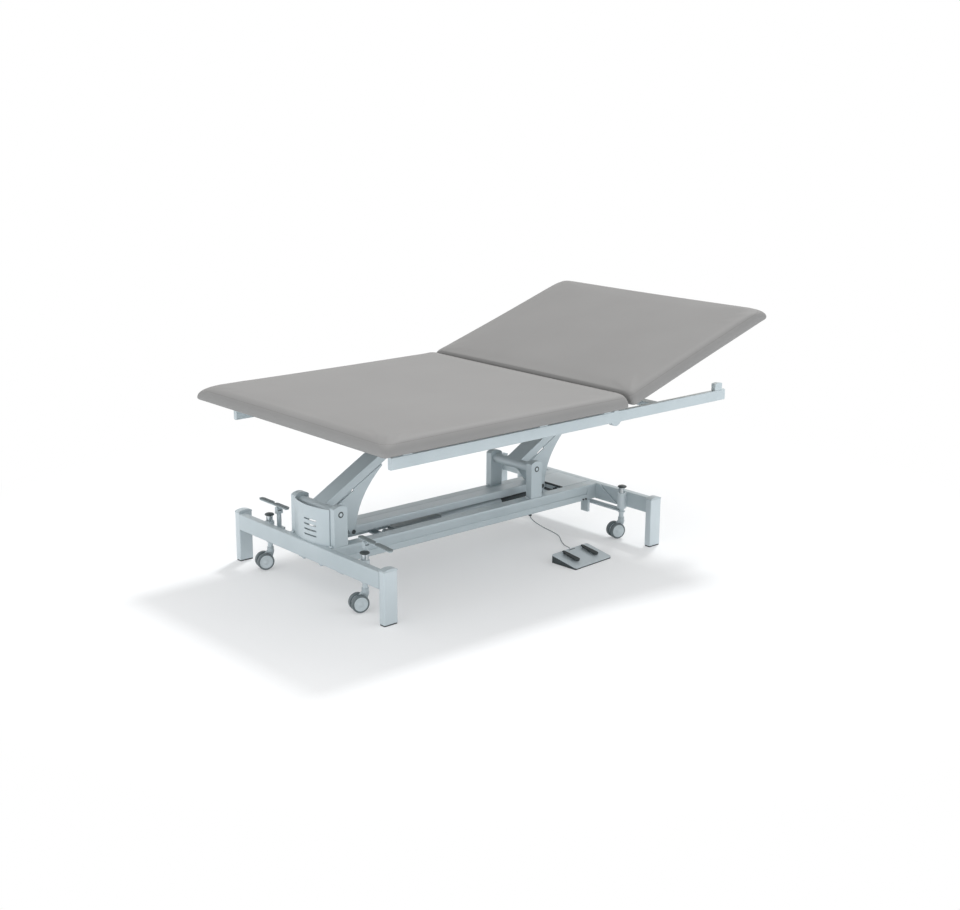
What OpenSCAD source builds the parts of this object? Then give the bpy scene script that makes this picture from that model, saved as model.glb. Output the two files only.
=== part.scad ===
// Bobath table: a wide two-section treatment table on a parallel lift.
// Foot end at -X, head end at +X, near side at -Y. The origin lies on the
// floor under the middle of the whole table, with the back section raised.

/* [Upholstery] */
// Width of both cushions
pad_w = 1200; // [900:10:1300]
// Thickness of the cushions at their edge
pad_t = 55; // [50:1:80]
// Length of the lower (seat and leg) cushion
lower_l = 1183; // [1100:1:1300]
// Length of the back cushion
back_l = 841; // [700:1:900]
// Gap between the two cushions at the hinge
pad_gap = 14; // [13:1:20]
// Width of the rolled upper edge of a cushion, from its side in to the flat top
pad_roll = 45; // [30:1:50]
// Radius of the lower edge of a cushion
pad_low_r = 10; // [6:1:14]
// Plan radius of the corners at their widest
pad_corner_r = 22; // [16:1:40]
// Plan radius of the corners where the top starts
pad_top_corner_r = 110; // [70:1:140]
// How far the sides are drawn in between their corners
pad_draw = 4; // [1:0.5:8]
// Rise of the crown above the upper edge
pad_crown = 5; // [2:1:12]
// How far the lower cushion overhangs the foot end of the rails
pad_overhang = 109; // [60:1:140]
// Thickness of the plywood boards
board_t = 12; // [9:1:15]
// How far the boards stop short of the cushion's outline
board_inset = 40; // [30:1:60]
// Raised angle of the back section
back_angle = 18; // [0:1:45]

/* [Base frame] */
// Overall width of the base
base_w = 960; // [880:5:1100]
// Height of the base beams
beam_h = 65; // [50:1:75]
// Thickness of the end beams
end_beam_t = 30; // [25:1:40]
// Height of the underside of the beams above the floor
beam_z = 131; // [120:1:150]
// Thickness of the long spine beams
spine_t = 50; // [40:1:54]
// Distance between the outer faces of the spine beams
spine_w = 284; // [276:1:300]
// Length of a leg tube's section
leg_x = 60; // [50:1:70]
// Width of a leg tube's section
leg_y = 30; // [25:1:40]
// Height of the leg tubes with their cap's edge
leg_h = 203; // [200:1:230]
// Rise of a leg cap's arch
cap_rise = 6; // [3:1:10]
// Thickness of a leg cap's edge
cap_t = 5; // [3:1:8]
// Height of a rubber foot
foot_h = 5; // [3:1:12]
// Edge radius of the bent and drawn steel sections
edge_r = 4; // [2:0.5:5]

/* [Lift] */
// Length of both lift arms between their pivots
arm_l = 550; // [500:5:600]
// Angle of the arms above the floor at this height
arm_angle = 29.6; // [20:0.1:40]
// Distance between the two lower pivots
pivot_span = 983; // [900:1:1020]
// Distance from the foot-end pivot to the end of the base
pivot_inset = 68; // [60:1:80]
// Distance from the head-end pivot to the head end of the base
head_span = 379; // [360:1:460]
// Height of the lower pivots
pivot_z = 317; // [300:1:340]
// Diameter of the pivot shafts
shaft_d = 20; // [16:1:24]
// Outer diameter of the arms' cross tubes
arm_tube_d = 40; // [32:1:44]
// Width of an arm's box column
column_w = 83; // [78:1:84]
// Depth of an arm's box column
column_d = 36; // [30:1:45]
// Thickness of the cheek plates
cheek_t = 4; // [3:0.5:5]
// Reach of the cheeks along the column
cheek_l = 292; // [260:1:320]
// Distance of the crank pin from the arm's lower pivot
crank_r = 171; // [160:1:180]
// Angle of the crank below the arm's own line
crank_angle = 71.5; // [68:0.5:76]
// Diameter of the crank pins
crank_pin_d = 16; // [12:1:18]
// Width of the tie beam
tie_w = 62; // [56:1:66]
// Height of the tie beam
tie_h = 31; // [28:1:36]
// Sheet thickness of the tie beam
tie_t = 3; // [2:0.5:4]
// Thickness of the posts
post_t = 30; // [25:1:32]
// Width of the posts
post_w = 60; // [56:1:66]
// Distance of a post's inner face from the middle
post_in = 108; // [104:1:112]

/* [Actuator] */
// Distance of the rod's eye from the head arm's lower pivot
lever_r = 185; // [180:1:190]
// Angle of the lever below the arm's own line
lever_angle = 82; // [80:0.5:84]
// Distance of the rear pivot from the base's middle, toward the foot end
ram_x = 330; // [300:1:360]
// Height of the rear pivot
ram_z = 150; // [145:1:155]
// Width of the gearbox
gearbox_w = 50; // [44:1:52]
// Length of the gearbox
gearbox_l = 232; // [200:1:250]
// Height of the gearbox
gearbox_h = 37; // [34:1:40]
// Diameter of the motor under the gearbox
motor_d = 46; // [40:1:48]
// Diameter of the outer tube
ram_tube_d = 36; // [30:1:40]
// Length of the outer tube
ram_tube_l = 330; // [280:1:340]
// Diameter of the rod
ram_rod_d = 20; // [16:1:24]

/* [Upper frame] */
// Length of the side rails
rail_l = 1761; // [1700:1:1800]
// Distance from the foot arm's upper pivot to the foot end of the rails
rail_foot = 523; // [500:1:560]
// Height of the rails
rail_h = 45; // [40:1:50]
// Thickness of the rails
rail_t = 20; // [15:1:30]
// Distance between the rails' outer faces
rail_w = 996; // [940:1:1040]
// Height of the cushion bearers above the rails
bearer_h = 32; // [28:1:40]
// Height of the cross tubes
cross_h = 20; // [16:1:22]
// Width of the cross tubes
cross_w = 40; // [30:1:50]
// Distance of the inner rails' inner faces from the middle
inner_in = 60; // [56:1:70]
// Thickness of the inner rails
inner_t = 30; // [20:1:36]
// Length of a rail's head-end upstand
upstand_l = 44; // [30:1:60]
// Radius of the half-round boss under each rail
boss_r = 31; // [20:1:36]

/* [Hinge and gas spring] */
// Height of the hinge axis above the cushions' underside
hinge_rise = 30; // [28:1:36]
// Diameter of a hinge knuckle
knuckle_d = 11; // [9:0.5:12]
// Diameter of the hinge pins
hinge_pin_d = 6; // [4:0.5:7]
// Length of a hinge over its knuckles
hinge_l = 56; // [40:1:80]
// Thickness of the hinge straps
strap_t = 3; // [2:0.5:4]
// Length of the gas spring's lever below the hinge axis
gas_lever = 70; // [60:1:75]
// Diameter of the gas spring's cylinder
gas_d = 22; // [18:1:24]
// Length of the gas spring's cylinder
gas_l = 170; // [150:1:180]
// Distance from the gas spring's rear pivot to its eye
gas_reach = 300; // [290:1:320]

/* [Castors] */
// Distance of the castors from the base's end face
castor_inset = 48; // [44:1:56]
// Distance of the castors from the base's side
castor_side = 174; // [160:1:200]
// Diameter of the castor wheels
wheel_d = 66; // [60:1:70]
// Width of one wheel of the pair
wheel_w = 17; // [14:1:19]
// Trail of the axle behind the stem
trail = 25; // [24:1:30]
// Clearance under the wheels while the table stands on its feet
wheel_lift = 2.5; // [1:0.5:6]
// Diameter of a castor stem
stem_d = 20; // [16:1:20]
// Angle of the trailing castors about their stems
swivel = -16; // [-180:1:180]

/* [Pedals] */
// Length of a pedal bar
pedal_l = 190; // [184:1:200]
// Width of a rubber pad
pedal_w = 22; // [18:1:26]
// Length of a rubber pad
pedal_pad_l = 90; // [80:1:91]
// Height of the pedals' pivots
pedal_z = 242; // [236:1:250]
// How far inward of its castor the far pedal's post stands
far_post_in = 18; // [16:1:22]
// How far the far pedal's bar is set off its post
far_bar_shift = 32; // [20:1:40]
// How far inward of its castor the near pedal's post stands
near_post_in = 34; // [22:1:38]
// How far the near pedal's bar is set off its post
near_bar_shift = 55; // [45:1:62]
// Tilt of the near pedal
near_tilt = 3; // [0:1:6]
// Height of the torsion shafts
torsion_z = 118; // [112:1:118]
// Distance of the torsion shafts from the middle
torsion_y = 56; // [52:1:60]
// Diameter of the torsion shafts
torsion_d = 16; // [14:1:16]

/* [Foot switch] */
// Length of the top plate
switch_l = 214; // [200:1:230]
// Depth of the top plate
switch_d = 134; // [120:1:140]
// Height of the plate's rear edge
switch_rear = 34; // [30:1:40]
// Height of the plate's front edge
switch_front = 9; // [7:1:14]
// Thickness of the top plate
switch_t = 3; // [2:0.5:4]
// Angle of the foot switch on the floor
switch_turn = 3.5; // [-45:0.5:45]
// Length of a foot pedal button
button_l = 88; // [70:1:95]
// Width of a foot pedal button at its front
button_w = 24; // [18:1:28]
// Diameter of the cord
cord_d = 3.6; // [3:0.1:4]

/* [Hidden] */
$fn = 48;

// Colours
steel = "#AEB8BC";
pale_steel = "#C4CFD3";
vinyl = "#B4B3AF";
rubber = "#3A4040";
dark = "#4A5252";
plywood = "#B79A72";
bright = "#D5D8DA";

// Clearances: cut overrun, welded or seated gap, running fit of a shaft, gap between moving bodies
over = 1;
seat = 0.3;
fit = 0.05;
gap = 1;

// Base: places of the beams, legs and posts, measured from the middle of the base
base_l = pivot_inset + pivot_span + head_span;
beam_top = beam_z + beam_h;
beam_mid = beam_z + beam_h / 2;
beam_inner_x = base_l / 2 - end_beam_t;
spine_in = spine_w / 2 - spine_t;
foot_pivot_x = pivot_inset - base_l / 2;
head_pivot_x = foot_pivot_x + pivot_span;
pivot_xs = [foot_pivot_x, head_pivot_x];
post_mid_y = post_in + post_t / 2;
leg_mid_x = base_l / 2 - leg_x / 2;
leg_mid_y = base_w / 2 - leg_y / 2;
castor_x = base_l / 2 - castor_inset;
castor_y = base_w / 2 - castor_side;
far_post_y = castor_y - far_post_in;
near_post_y = castor_y - near_post_in;

// Lift: the arms' directions and the crank and lever places relative to a lower pivot
frame_x = foot_pivot_x + arm_l * cos(arm_angle);
frame_z = pivot_z + arm_l * sin(arm_angle);
crank_at = crank_r * [cos(arm_angle - crank_angle), sin(arm_angle - crank_angle)];
eye_at = lever_r * [cos(arm_angle - lever_angle), sin(arm_angle - lever_angle)];
eye_x = head_pivot_x + eye_at[0];
eye_z = pivot_z + eye_at[1];
ram_reach = norm([eye_x + ram_x, eye_z - ram_z]);
ram_tilt = atan2(eye_z - ram_z, eye_x + ram_x);

// Upper frame: rails, cushions and the hinge axis
rail_x0 = frame_x - rail_foot;
rail_x1 = rail_x0 + rail_l;
rail_top = frame_z + rail_h / 2;
rail_low = frame_z - rail_h / 2;
pad_z = rail_top + bearer_h;
pad_x0 = rail_x0 - pad_overhang;
lower_x1 = pad_x0 + lower_l;
hinge_x = lower_x1 + pad_gap / 2;
hinge_z = pad_z + hinge_rise;

// Steps round a cushion's lower edge, up its rolled edge, round its corners and over its crown
low_steps = 4;
roll_steps = 8;
corner_steps = 6;
side_points = 3;
crown_rings = 5;

// The whole table's box, which sets the origin halfway along it
pad_edge = cushion_edge();
back_end_x = hinge_x + max([for (p = pad_edge)
    (pad_gap / 2 + back_l - p[0]) * cos(back_angle) - (p[1] - hinge_rise) * sin(back_angle)]);
base_x = -(pad_x0 + back_end_x) / 2;

// Points of an arc about a centre, from one angle to another
function arc(c, r, a0, a1, n) = [for (i = [0:n]) c + r * [cos(a0 + (a1 - a0) * i / n), sin(a0 + (a1 - a0) * i / n)]];

// Outline of a rectangle with rounded corners, centred
function rounded(w, h, r, n = 4) = concat(
    arc([w / 2 - r, h / 2 - r], r, 0, 90, n), arc([r - w / 2, h / 2 - r], r, 90, 180, n),
    arc([r - w / 2, r - h / 2], r, 180, 270, n), arc([w / 2 - r, r - h / 2], r, 270, 360, n));

// Point of a quadratic curve between a and c that is drawn toward b
function bend(a, b, c, n) = [for (i = [0:n]) let (s = i / n) (1 - s) * (1 - s) * a + 2 * s * (1 - s) * b + s * s * c];

// Carriers: the base's middle, a profile drawn along X, Y or Z, and mirrored pairs
module base_mid() { translate([base_x, 0, 0]) children(); }
module along_x(l) { rotate([90, 0, 90]) linear_extrude(l) children(); }
module across_y(w) { rotate([90, 0, 0]) linear_extrude(w, center = true) children(); }
module both_sides() {
    children();
    mirror([0, 1, 0]) children();
}
module pin_y(d, l) { rotate([90, 0, 0]) cylinder(d = d, h = l, center = true); }
module pin_x(d, l) { rotate([0, 90, 0]) cylinder(d = d, h = l); }
module box(size) { translate([0, -size[1] / 2, 0]) cube(size); }
module at_arm(x) { translate([x, 0, pivot_z]) rotate([0, -arm_angle, 0]) children(); }
module on_castor(end, side) { translate([end * castor_x, side * castor_y, 0]) children(); }
module every_castor() { for (e = [-1, 1], s = [-1, 1]) on_castor(e, s) children(); }
module raised_back() { translate([hinge_x, 0, hinge_z]) rotate([0, -back_angle, 0]) children(); }

// Base beams: box sections with rounded edges
beam_l = base_w - 2 * leg_y;
module end_beams() {
    color(steel) base_mid() for (s = [-1, 1])
        translate([s * (base_l - end_beam_t) / 2, 0, beam_mid]) across_y(beam_l)
            polygon(rounded(end_beam_t, beam_h, edge_r));
}

// Spine beams with a wide rolled groove along both faces: it slopes in from above and ends on a lip
groove_t = 4;
groove_lip = 3;
groove_top_share = 0.84;
groove_low_share = 0.39;
groove_end_share = 0.04;
groove_l = 2 * beam_inner_x * (1 - 2 * groove_end_share);
module groove() {
    top = beam_h * groove_top_share;
    low = beam_h * groove_low_share;
    translate([-groove_l / 2, -spine_w / 2, beam_z]) along_x(groove_l)
        polygon([[-over, top], [0, top], [groove_t, low + groove_lip], [groove_t, low], [-over, low]]);
}
module spine_beams() {
    color(steel) base_mid() both_sides() difference() {
        translate([-beam_inner_x, (spine_t - spine_w) / 2, beam_mid]) along_x(2 * beam_inner_x)
            polygon(rounded(spine_t, beam_h, edge_r));
        groove();
        translate([0, spine_t - spine_w, 0]) mirror([0, 1, 0]) groove();
    }
}

// Legs: tubes with an arched plastic cap above and a rubber foot below
cap_l = leg_x;
module at_legs() { for (e = [-1, 1], s = [-1, 1]) translate([e * leg_mid_x, s * leg_mid_y, 0]) children(); }
module legs() {
    color(pale_steel) base_mid() at_legs() translate([0, 0, foot_h])
        linear_extrude(leg_h - cap_t - foot_h) polygon(rounded(leg_x, leg_y, edge_r));
}
cap_r = (cap_l * cap_l / 4 + cap_rise * cap_rise) / (2 * cap_rise);
cap_half = asin(cap_l / 2 / cap_r);
module leg_caps() {
    color(steel) base_mid() at_legs() translate([0, 0, leg_h]) across_y(leg_y)
        polygon(concat([[cap_l / 2, -cap_t]], arc([0, cap_rise - cap_r], cap_r, 90 - cap_half, 90 + cap_half, 12),
            [[-cap_l / 2, -cap_t]]));
}
foot_in = 1;
module rubber_feet() {
    color(rubber) base_mid() at_legs()
        linear_extrude(foot_h) polygon(rounded(leg_x - 2 * foot_in, leg_y - 2 * foot_in, edge_r));
}

// Pivot posts: box posts on the spine beams with a low arched top and a through bore
post_rise = 10;
post_head = 23;
post_r = (post_w * post_w / 4 + post_rise * post_rise) / (2 * post_rise);
post_half = asin(post_w / 2 / post_r);
module post_outline() {
    polygon(concat([[post_w / 2, beam_top - pivot_z]],
        arc([0, post_head + post_rise - post_r], post_r, 90 - post_half, 90 + post_half, 12),
        [[-post_w / 2, beam_top - pivot_z]]));
}
module pivot_posts() {
    color(steel) base_mid() for (x = pivot_xs) both_sides()
        translate([x, post_mid_y, pivot_z]) across_y(post_t) difference() {
            post_outline();
            circle(d = shaft_d + 2 * fit);
        }
}

// Pivot shafts, flush with the posts' outer faces, with a raised end
shaft_l = 2 * (post_in + post_t);
shaft_cap_t = 1;
shaft_cap_d = 13;
module base_shafts() {
    color(bright) base_mid() for (x = pivot_xs) translate([x, 0, pivot_z]) {
        pin_y(shaft_d, shaft_l);
        pin_y(shaft_cap_d, shaft_l + 2 * shaft_cap_t);
    }
}

// Frame brackets: head-end gussets, the actuator's cross member and ears, and the hangers under
// the spine beams, each with a lug and an eye for the torsion shaft
gusset_t = 5;
gusset_x = 22;
gusset_reach = 130;
ear_t = 5;
ear_r = 13;
ear_in = 12.5;
ram_pin_d = 12;
cross_member_h = 5;
cross_member_l = 38;
hanger_t = 12;
hanger_r = 14;
hanger_arm_h = 16;
lug_w = 40;
foot_lug_h = 42;
head_lug_h = 52;
module gusset() {
    translate([beam_inner_x - gusset_t, 0, 0]) along_x(gusset_t)
        polygon([[spine_w / 2, beam_z], [spine_w / 2 + gusset_reach, beam_z], [spine_w / 2 + gusset_x, beam_top],
            [spine_w / 2, beam_top]]);
}
module ram_ears() {
    both_sides() translate([-ram_x, ear_in + ear_t / 2, ram_z]) across_y(ear_t) difference() {
        union() {
            circle(r = ear_r);
            translate([-ear_r, beam_z + cross_member_h - ram_z]) square([2 * ear_r, ram_z - beam_z - cross_member_h]);
        }
        circle(d = ram_pin_d + 2 * fit);
    }
}
module hanger(lug_h) {
    along_x(hanger_t) difference() {
        union() {
            translate([torsion_y, torsion_z]) circle(r = hanger_r);
            translate([torsion_y, beam_z - seat - hanger_arm_h]) square([spine_w / 2 - torsion_y, hanger_arm_h]);
            translate([spine_w / 2 - lug_w, beam_z - seat - lug_h]) square([lug_w, lug_h]);
        }
        translate([torsion_y, torsion_z]) circle(d = torsion_d + 2 * fit);
    }
}
module frame_brackets() {
    hanger_x = castor_x - lever_w / 2 - 4 * gap - hanger_t;
    color(steel) base_mid() {
        both_sides() gusset();
        translate([-ram_x - cross_member_l / 2, 0, beam_z]) box([cross_member_l, 2 * spine_in, cross_member_h]);
        ram_ears();
        both_sides() translate([-hanger_x - hanger_t, 0, 0]) hanger(foot_lug_h);
        both_sides() translate([hanger_x, 0, 0]) hanger(head_lug_h);
    }
}

// Vent panel: bowed sheet on the foot beam, before the posts' front edges, with four slots
vent_t = 3;
vent_lap = 4;
vent_half = post_in + vent_lap;
vent_bow = 24;
vent_h = 140;
slot_l = 70;
slot_h = 6;
slot_pitch = 20;
slot_y = -19;
slot_top = 84;
vent_x = foot_pivot_x - post_w / 2 - seat - vent_t - vent_bow;
vent_r = (vent_half * vent_half + vent_bow * vent_bow) / (2 * vent_bow);
vent_a = asin(vent_half / vent_r);
module vent_panel() {
    color(steel) base_mid() difference() {
        translate([vent_x, 0, beam_top]) linear_extrude(vent_h)
            polygon(concat(arc([vent_r, 0], vent_r, 180 - vent_a, 180 + vent_a, 24),
                arc([vent_r, 0], vent_r - vent_t, 180 + vent_a, 180 - vent_a, 24)));
        for (i = [0:3]) translate([vent_x - over, slot_y - slot_l / 2, beam_top + slot_top - i * slot_pitch])
            cube([vent_bow, slot_l, slot_h]);
    }
}

// Cover over the control box at the head end, a folded sheet between the spine beams
cover_l = 150;
cover_t = 2;
cover_clear = 1;
cover_skirt = 24;
cover_x = beam_inner_x - cover_l - cover_clear;
cover_w = 2 * (spine_in - cover_clear);
module base_cover() {
    color(pale_steel) base_mid() translate([cover_x, 0, beam_top - cover_skirt]) difference() {
        box([cover_l, cover_w, cover_skirt]);
        translate([cover_t, 0, -over]) box([cover_l + over, cover_w - 2 * cover_t, cover_skirt - cover_t + over]);
    }
}

// Control box under the cover, held on the head beam, with a recessed mains inlet below
box_l = 130;
box_h = 42;
box_w = 120;
inlet_l = 28;
inlet_w = 20;
inlet_t = 12;
module control_box() {
    color(dark) base_mid() translate([beam_inner_x - box_l, 0, beam_top - cover_t - box_h]) difference() {
        box([box_l, box_w, box_h]);
        translate([(box_l - inlet_l) / 2, 0, -over]) box([inlet_l, inlet_w, inlet_t + over]);
    }
}

// Fasteners: the edge strip and two knobs on the cover's front, the screws on the spine beams' sides
trim_t = 2;
trim_h = 9;
trim_rise = 1;
knob_d = 12;
knob_l = 12;
knob_drop = 16;
knob_ys = [-50, 25];
screw_d = 8;
screw_h = 3;
screw_z = 7;
screw_pitch = 16;
screw_in = 64;
module base_fasteners() {
    front_x = cover_x - seat;
    color(rubber) base_mid() {
        translate([front_x - trim_t, 0, beam_top + trim_rise - trim_h]) box([trim_t, cover_w, trim_h]);
        for (y = knob_ys) translate([front_x - knob_l, y, beam_top - knob_drop]) pin_x(knob_d, knob_l);
        for (i = [0, 1]) both_sides()
            translate([beam_inner_x - screw_in - i * screw_pitch, (spine_w + screw_h) / 2 + seat, beam_z + screw_z])
                pin_y(screw_d, screw_h);
    }
}

// Castor guides: sleeve on the beam's inner face, chrome neck above it and a mushroom cap
sleeve_d = 36;
sleeve_below = 4;
sleeve_saddle = 24;
neck_d = 26;
neck_h = 22;
neck_z = beam_top - 3;
mushroom_d = 37;
mushroom_h = 11;
mushroom_edge = 3;
mushroom_in = 6;
module castor_sleeves() {
    color(pale_steel) base_mid() for (e = [-1, 1], s = [-1, 1]) on_castor(e, s)
        translate([0, 0, beam_z - sleeve_below]) linear_extrude(neck_z - beam_z + sleeve_below) difference() {
            union() {
                circle(d = sleeve_d);
                translate([e > 0 ? 0 : end_beam_t - castor_inset, -sleeve_saddle / 2])
                    square([castor_inset - end_beam_t, sleeve_saddle]);
            }
            circle(d = stem_d + 2 * fit);
        }
}
module castor_necks() {
    color(bright) base_mid() every_castor() translate([0, 0, neck_z]) linear_extrude(neck_h) difference() {
        circle(d = neck_d);
        circle(d = stem_d + 2 * fit);
    }
}
module castor_caps() {
    color(dark) base_mid() every_castor() translate([0, 0, neck_z + neck_h]) rotate_extrude()
        polygon(concat([[0, 0], [neck_d / 2, 0], [mushroom_d / 2, mushroom_edge]],
            bend([mushroom_d / 2, mushroom_in], [mushroom_d / 2 - mushroom_edge, mushroom_h], [0, mushroom_h], 6)));
}

// One castor: stem with its collar, swivelling fork and a pair of wheels
axle_z = wheel_d / 2 + wheel_lift;
web_t = 11;
web_share = 0.82;
web_r = wheel_d * web_share / 2;
cup_d = 26;
cup_z = axle_z + wheel_d / 2 + 1.5 * gap;
cup_h = 18;
cup_floor = 5;
axle_d = 8;
stem_top = neck_z + neck_h;
collar_d = 30;
collar_t = 4;
lever_t = 6;
lever_collar_gap = 0.5;
module castor_stem(e, s) {
    color(pale_steel) base_mid() on_castor(e, s) {
        translate([0, 0, cup_z + cup_floor + seat]) cylinder(d = stem_d, h = stem_top - seat - cup_z - cup_floor - seat);
        translate([0, 0, torsion_z - lever_t / 2 - lever_collar_gap - collar_t]) cylinder(d = collar_d, h = collar_t);
    }
}
module fork_outline() {
    translate([-trail, axle_z]) circle(r = web_r);
    polygon([[web_r - trail, axle_z], [cup_d / 2, cup_z], [cup_d / 2, cup_z + cup_floor],
        [-cup_d / 2, cup_z + cup_floor], [-trail, axle_z + web_r]]);
}
module castor_fork(e, s) {
    color(pale_steel) base_mid() on_castor(e, s) rotate([0, 0, swivel]) difference() {
        union() {
            across_y(web_t) fork_outline();
            translate([0, 0, cup_z]) cylinder(d = cup_d, h = cup_h);
        }
        translate([0, 0, cup_z + cup_floor]) cylinder(d = stem_d + 2 * fit, h = cup_h);
        translate([-trail, 0, axle_z]) pin_y(axle_d + 2 * fit, web_t + 2 * over);
    }
}
hub_share = 0.72;
hub_dish = 3;
tread_r = 3;
module wheel_section() {
    polygon(concat([[0, 0], [wheel_d * hub_share / 2, 0]],
        bend([wheel_d / 2 - tread_r, 0], [wheel_d / 2, 0], [wheel_d / 2, tread_r], 4),
        bend([wheel_d / 2, wheel_w - tread_r], [wheel_d / 2, wheel_w], [wheel_d / 2 - tread_r, wheel_w], 4),
        [[wheel_d * hub_share / 2, wheel_w], [wheel_d * hub_share / 2 - hub_dish, wheel_w - hub_dish],
            [0, wheel_w - hub_dish]]));
}
module castor_wheels(e, s) {
    color(dark) base_mid() on_castor(e, s) rotate([0, 0, swivel]) translate([-trail, 0, axle_z]) {
        for (m = [0, 1]) mirror([0, m, 0]) translate([0, web_t / 2 + gap, 0]) rotate([-90, 0, 0])
            rotate_extrude() wheel_section();
        pin_y(axle_d, web_t + 2 * gap);
    }
}

// Pedal posts on brackets behind the foot beam, each with a forked head round the pedal's hub
post_d = 18;
pedal_back = 50;
pedal_x = pedal_back - beam_inner_x;
bracket_z = 150;
bracket_h = 20;
bracket_w = 22;
bracket_gap = 3;
hub_d = 16;
hub_l = 16;
pedal_pin_d = 8;
ear_pair_t = 4;
module post_bracket(y) {
    in_y = min(y, castor_y - sleeve_d / 2 - bracket_gap - bracket_w / 2) - bracket_w / 2;
    translate([-beam_inner_x, in_y, bracket_z]) cube([pedal_back, bracket_w, bracket_h]);
    translate([pedal_x - bracket_w / 2, in_y, bracket_z]) cube([bracket_w, y - in_y, bracket_h]);
}
module pedal_post(y) {
    translate([pedal_x, y, 0]) {
        translate([0, 0, bracket_z]) cylinder(d = post_d, h = pedal_z - hub_d / 2 - gap - bracket_z);
        for (s = [-1, 1]) translate([s * (hub_l / 2 + gap + ear_pair_t / 2) - ear_pair_t / 2, 0, 0])
            along_x(ear_pair_t) difference() {
                union() {
                    translate([0, pedal_z]) circle(d = hub_d);
                    translate([-hub_d / 2, pedal_z - hub_d - ear_pair_t]) square([hub_d, hub_d + ear_pair_t]);
                }
                translate([0, pedal_z]) circle(d = pedal_pin_d + 2 * fit);
            }
        translate([-hub_l / 2 - gap - ear_pair_t, -hub_d / 2, pedal_z - hub_d - ear_pair_t])
            cube([hub_l + 2 * gap + 2 * ear_pair_t, hub_d, ear_pair_t + hub_d / 2 - gap]);
    }
}
module pedal_posts() {
    color(steel) base_mid() {
        pedal_post(far_post_y);
        pedal_post(-near_post_y);
        post_bracket(far_post_y);
        mirror([0, 1, 0]) post_bracket(near_post_y);
    }
}

// Rocking pedals: hub and flat bar, with two ribbed rubber pads
bar_t = 4;
bar_w = 14;
pad_ends = 4;
pad_rise = 4;
rib_count = 9;
rib_h = 1.5;
rib_share = 0.5;
module at_pedal(y, tilt) { base_mid() translate([pedal_x, y, pedal_z]) rotate([tilt, 0, 0]) children(); }
module pedal(y, shift, tilt) {
    color(steel) at_pedal(y, tilt) {
        translate([-hub_l / 2, 0, 0]) pin_x(hub_d, hub_l);
        translate([-hub_l / 2 - gap - ear_pair_t, 0, 0]) pin_x(pedal_pin_d, hub_l + 2 * gap + 2 * ear_pair_t);
        translate([-bar_w / 2, shift - pedal_l / 2 + pad_ends, hub_d / 2 - over])
            cube([bar_w, pedal_l - 2 * pad_ends, bar_t + over]);
    }
}
module pedal_pads(y, shift, tilt) {
    color(rubber) at_pedal(y, tilt) for (s = [-1, 1])
        translate([0, shift + s * (pedal_l - pedal_pad_l) / 2, hub_d / 2 + bar_t]) {
            linear_extrude(pad_rise) rotate([0, 0, 90]) polygon(rounded(pedal_pad_l, pedal_w, pedal_w / 2 - over, 6));
            for (i = [0:rib_count - 1])
                translate([-pedal_w / 2 + pad_ends, (i - (rib_count - 1) / 2) * (pedal_pad_l - pedal_w) / rib_count, pad_rise])
                    cube([pedal_w - 2 * pad_ends, pedal_pad_l / rib_count * rib_share, rib_h]);
        }
}

// Torsion shafts under the base, each with a slotted lever over both stems' collars
shaft_end = 20;
lever_w = 34;
lever_hub_d = 22;
slot_clear = 2;
module castor_lever() {
    reach = castor_y - torsion_y;
    difference() {
        union() {
            translate([-lever_w / 2, 0, 0]) pin_x(lever_hub_d, lever_w);
            translate([-lever_w / 2, 0, -lever_t / 2]) cube([lever_w, reach, lever_t]);
        }
        translate([-stem_d / 2 - slot_clear, reach - stem_d / 2 - slot_clear, -lever_t])
            cube([stem_d + 2 * slot_clear, stem_d + slot_clear, 2 * lever_t]);
        translate([-lever_w, 0, 0]) pin_x(torsion_d + 2 * fit, 2 * lever_w);
    }
}
module torsion_shaft(s) {
    color(steel) base_mid() translate([0, s * torsion_y, torsion_z]) {
        translate([-castor_x - shaft_end, 0, 0]) pin_x(torsion_d, 2 * (castor_x + shaft_end));
        for (e = [-1, 1]) translate([e * castor_x, 0, 0]) mirror([0, s > 0 ? 0 : 1, 0]) castor_lever();
    }
}

// Foot switch: wedge body, tilted top plate, two pedal buttons hinged at the rear
switch_x = 213;
switch_y = -357;
switch_corner = 10;
switch_tilt = asin((switch_rear - switch_front) / switch_d);
body_side = 2;
body_rear = 3;
body_front = 6;
button_rear_r = 7;
button_t = 6;
button_gap = 5;
button_in = 20;
button_share = 0.24;
button_pin_d = 3;
button_barrel_d = 7;
button_ear_t = 3;
function under_plate(y) = switch_rear - switch_t / cos(switch_tilt) + y * tan(switch_tilt);
module on_switch() { base_mid() translate([switch_x, switch_y, 0]) rotate([0, 0, switch_turn]) children(); }
module on_plate() { on_switch() translate([0, 0, switch_rear]) rotate([switch_tilt, 0, 0]) children(); }
module foot_switch_body() {
    color(dark) on_switch() translate([body_side, 0, 0]) along_x(switch_l - 2 * body_side)
        polygon([[-body_rear, 0], [body_front - switch_d, 0], [body_front - switch_d, under_plate(body_front - switch_d)],
            [-body_rear, under_plate(-body_rear)]]);
}
module button_pins() {
    for (u = [button_share, 1 - button_share]) translate([u * switch_l, -button_in, button_gap]) {
        translate([-button_rear_r - button_ear_t, 0, 0]) pin_x(button_pin_d, 2 * (button_rear_r + button_ear_t));
        for (s = [-1, 1]) translate([s * (button_rear_r + button_ear_t / 2 + seat) - button_ear_t / 2, 0, 0]) {
            pin_x(button_barrel_d, button_ear_t);
            translate([0, -button_barrel_d / 2, -button_gap]) cube([button_ear_t, button_barrel_d, button_gap]);
        }
    }
}
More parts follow.
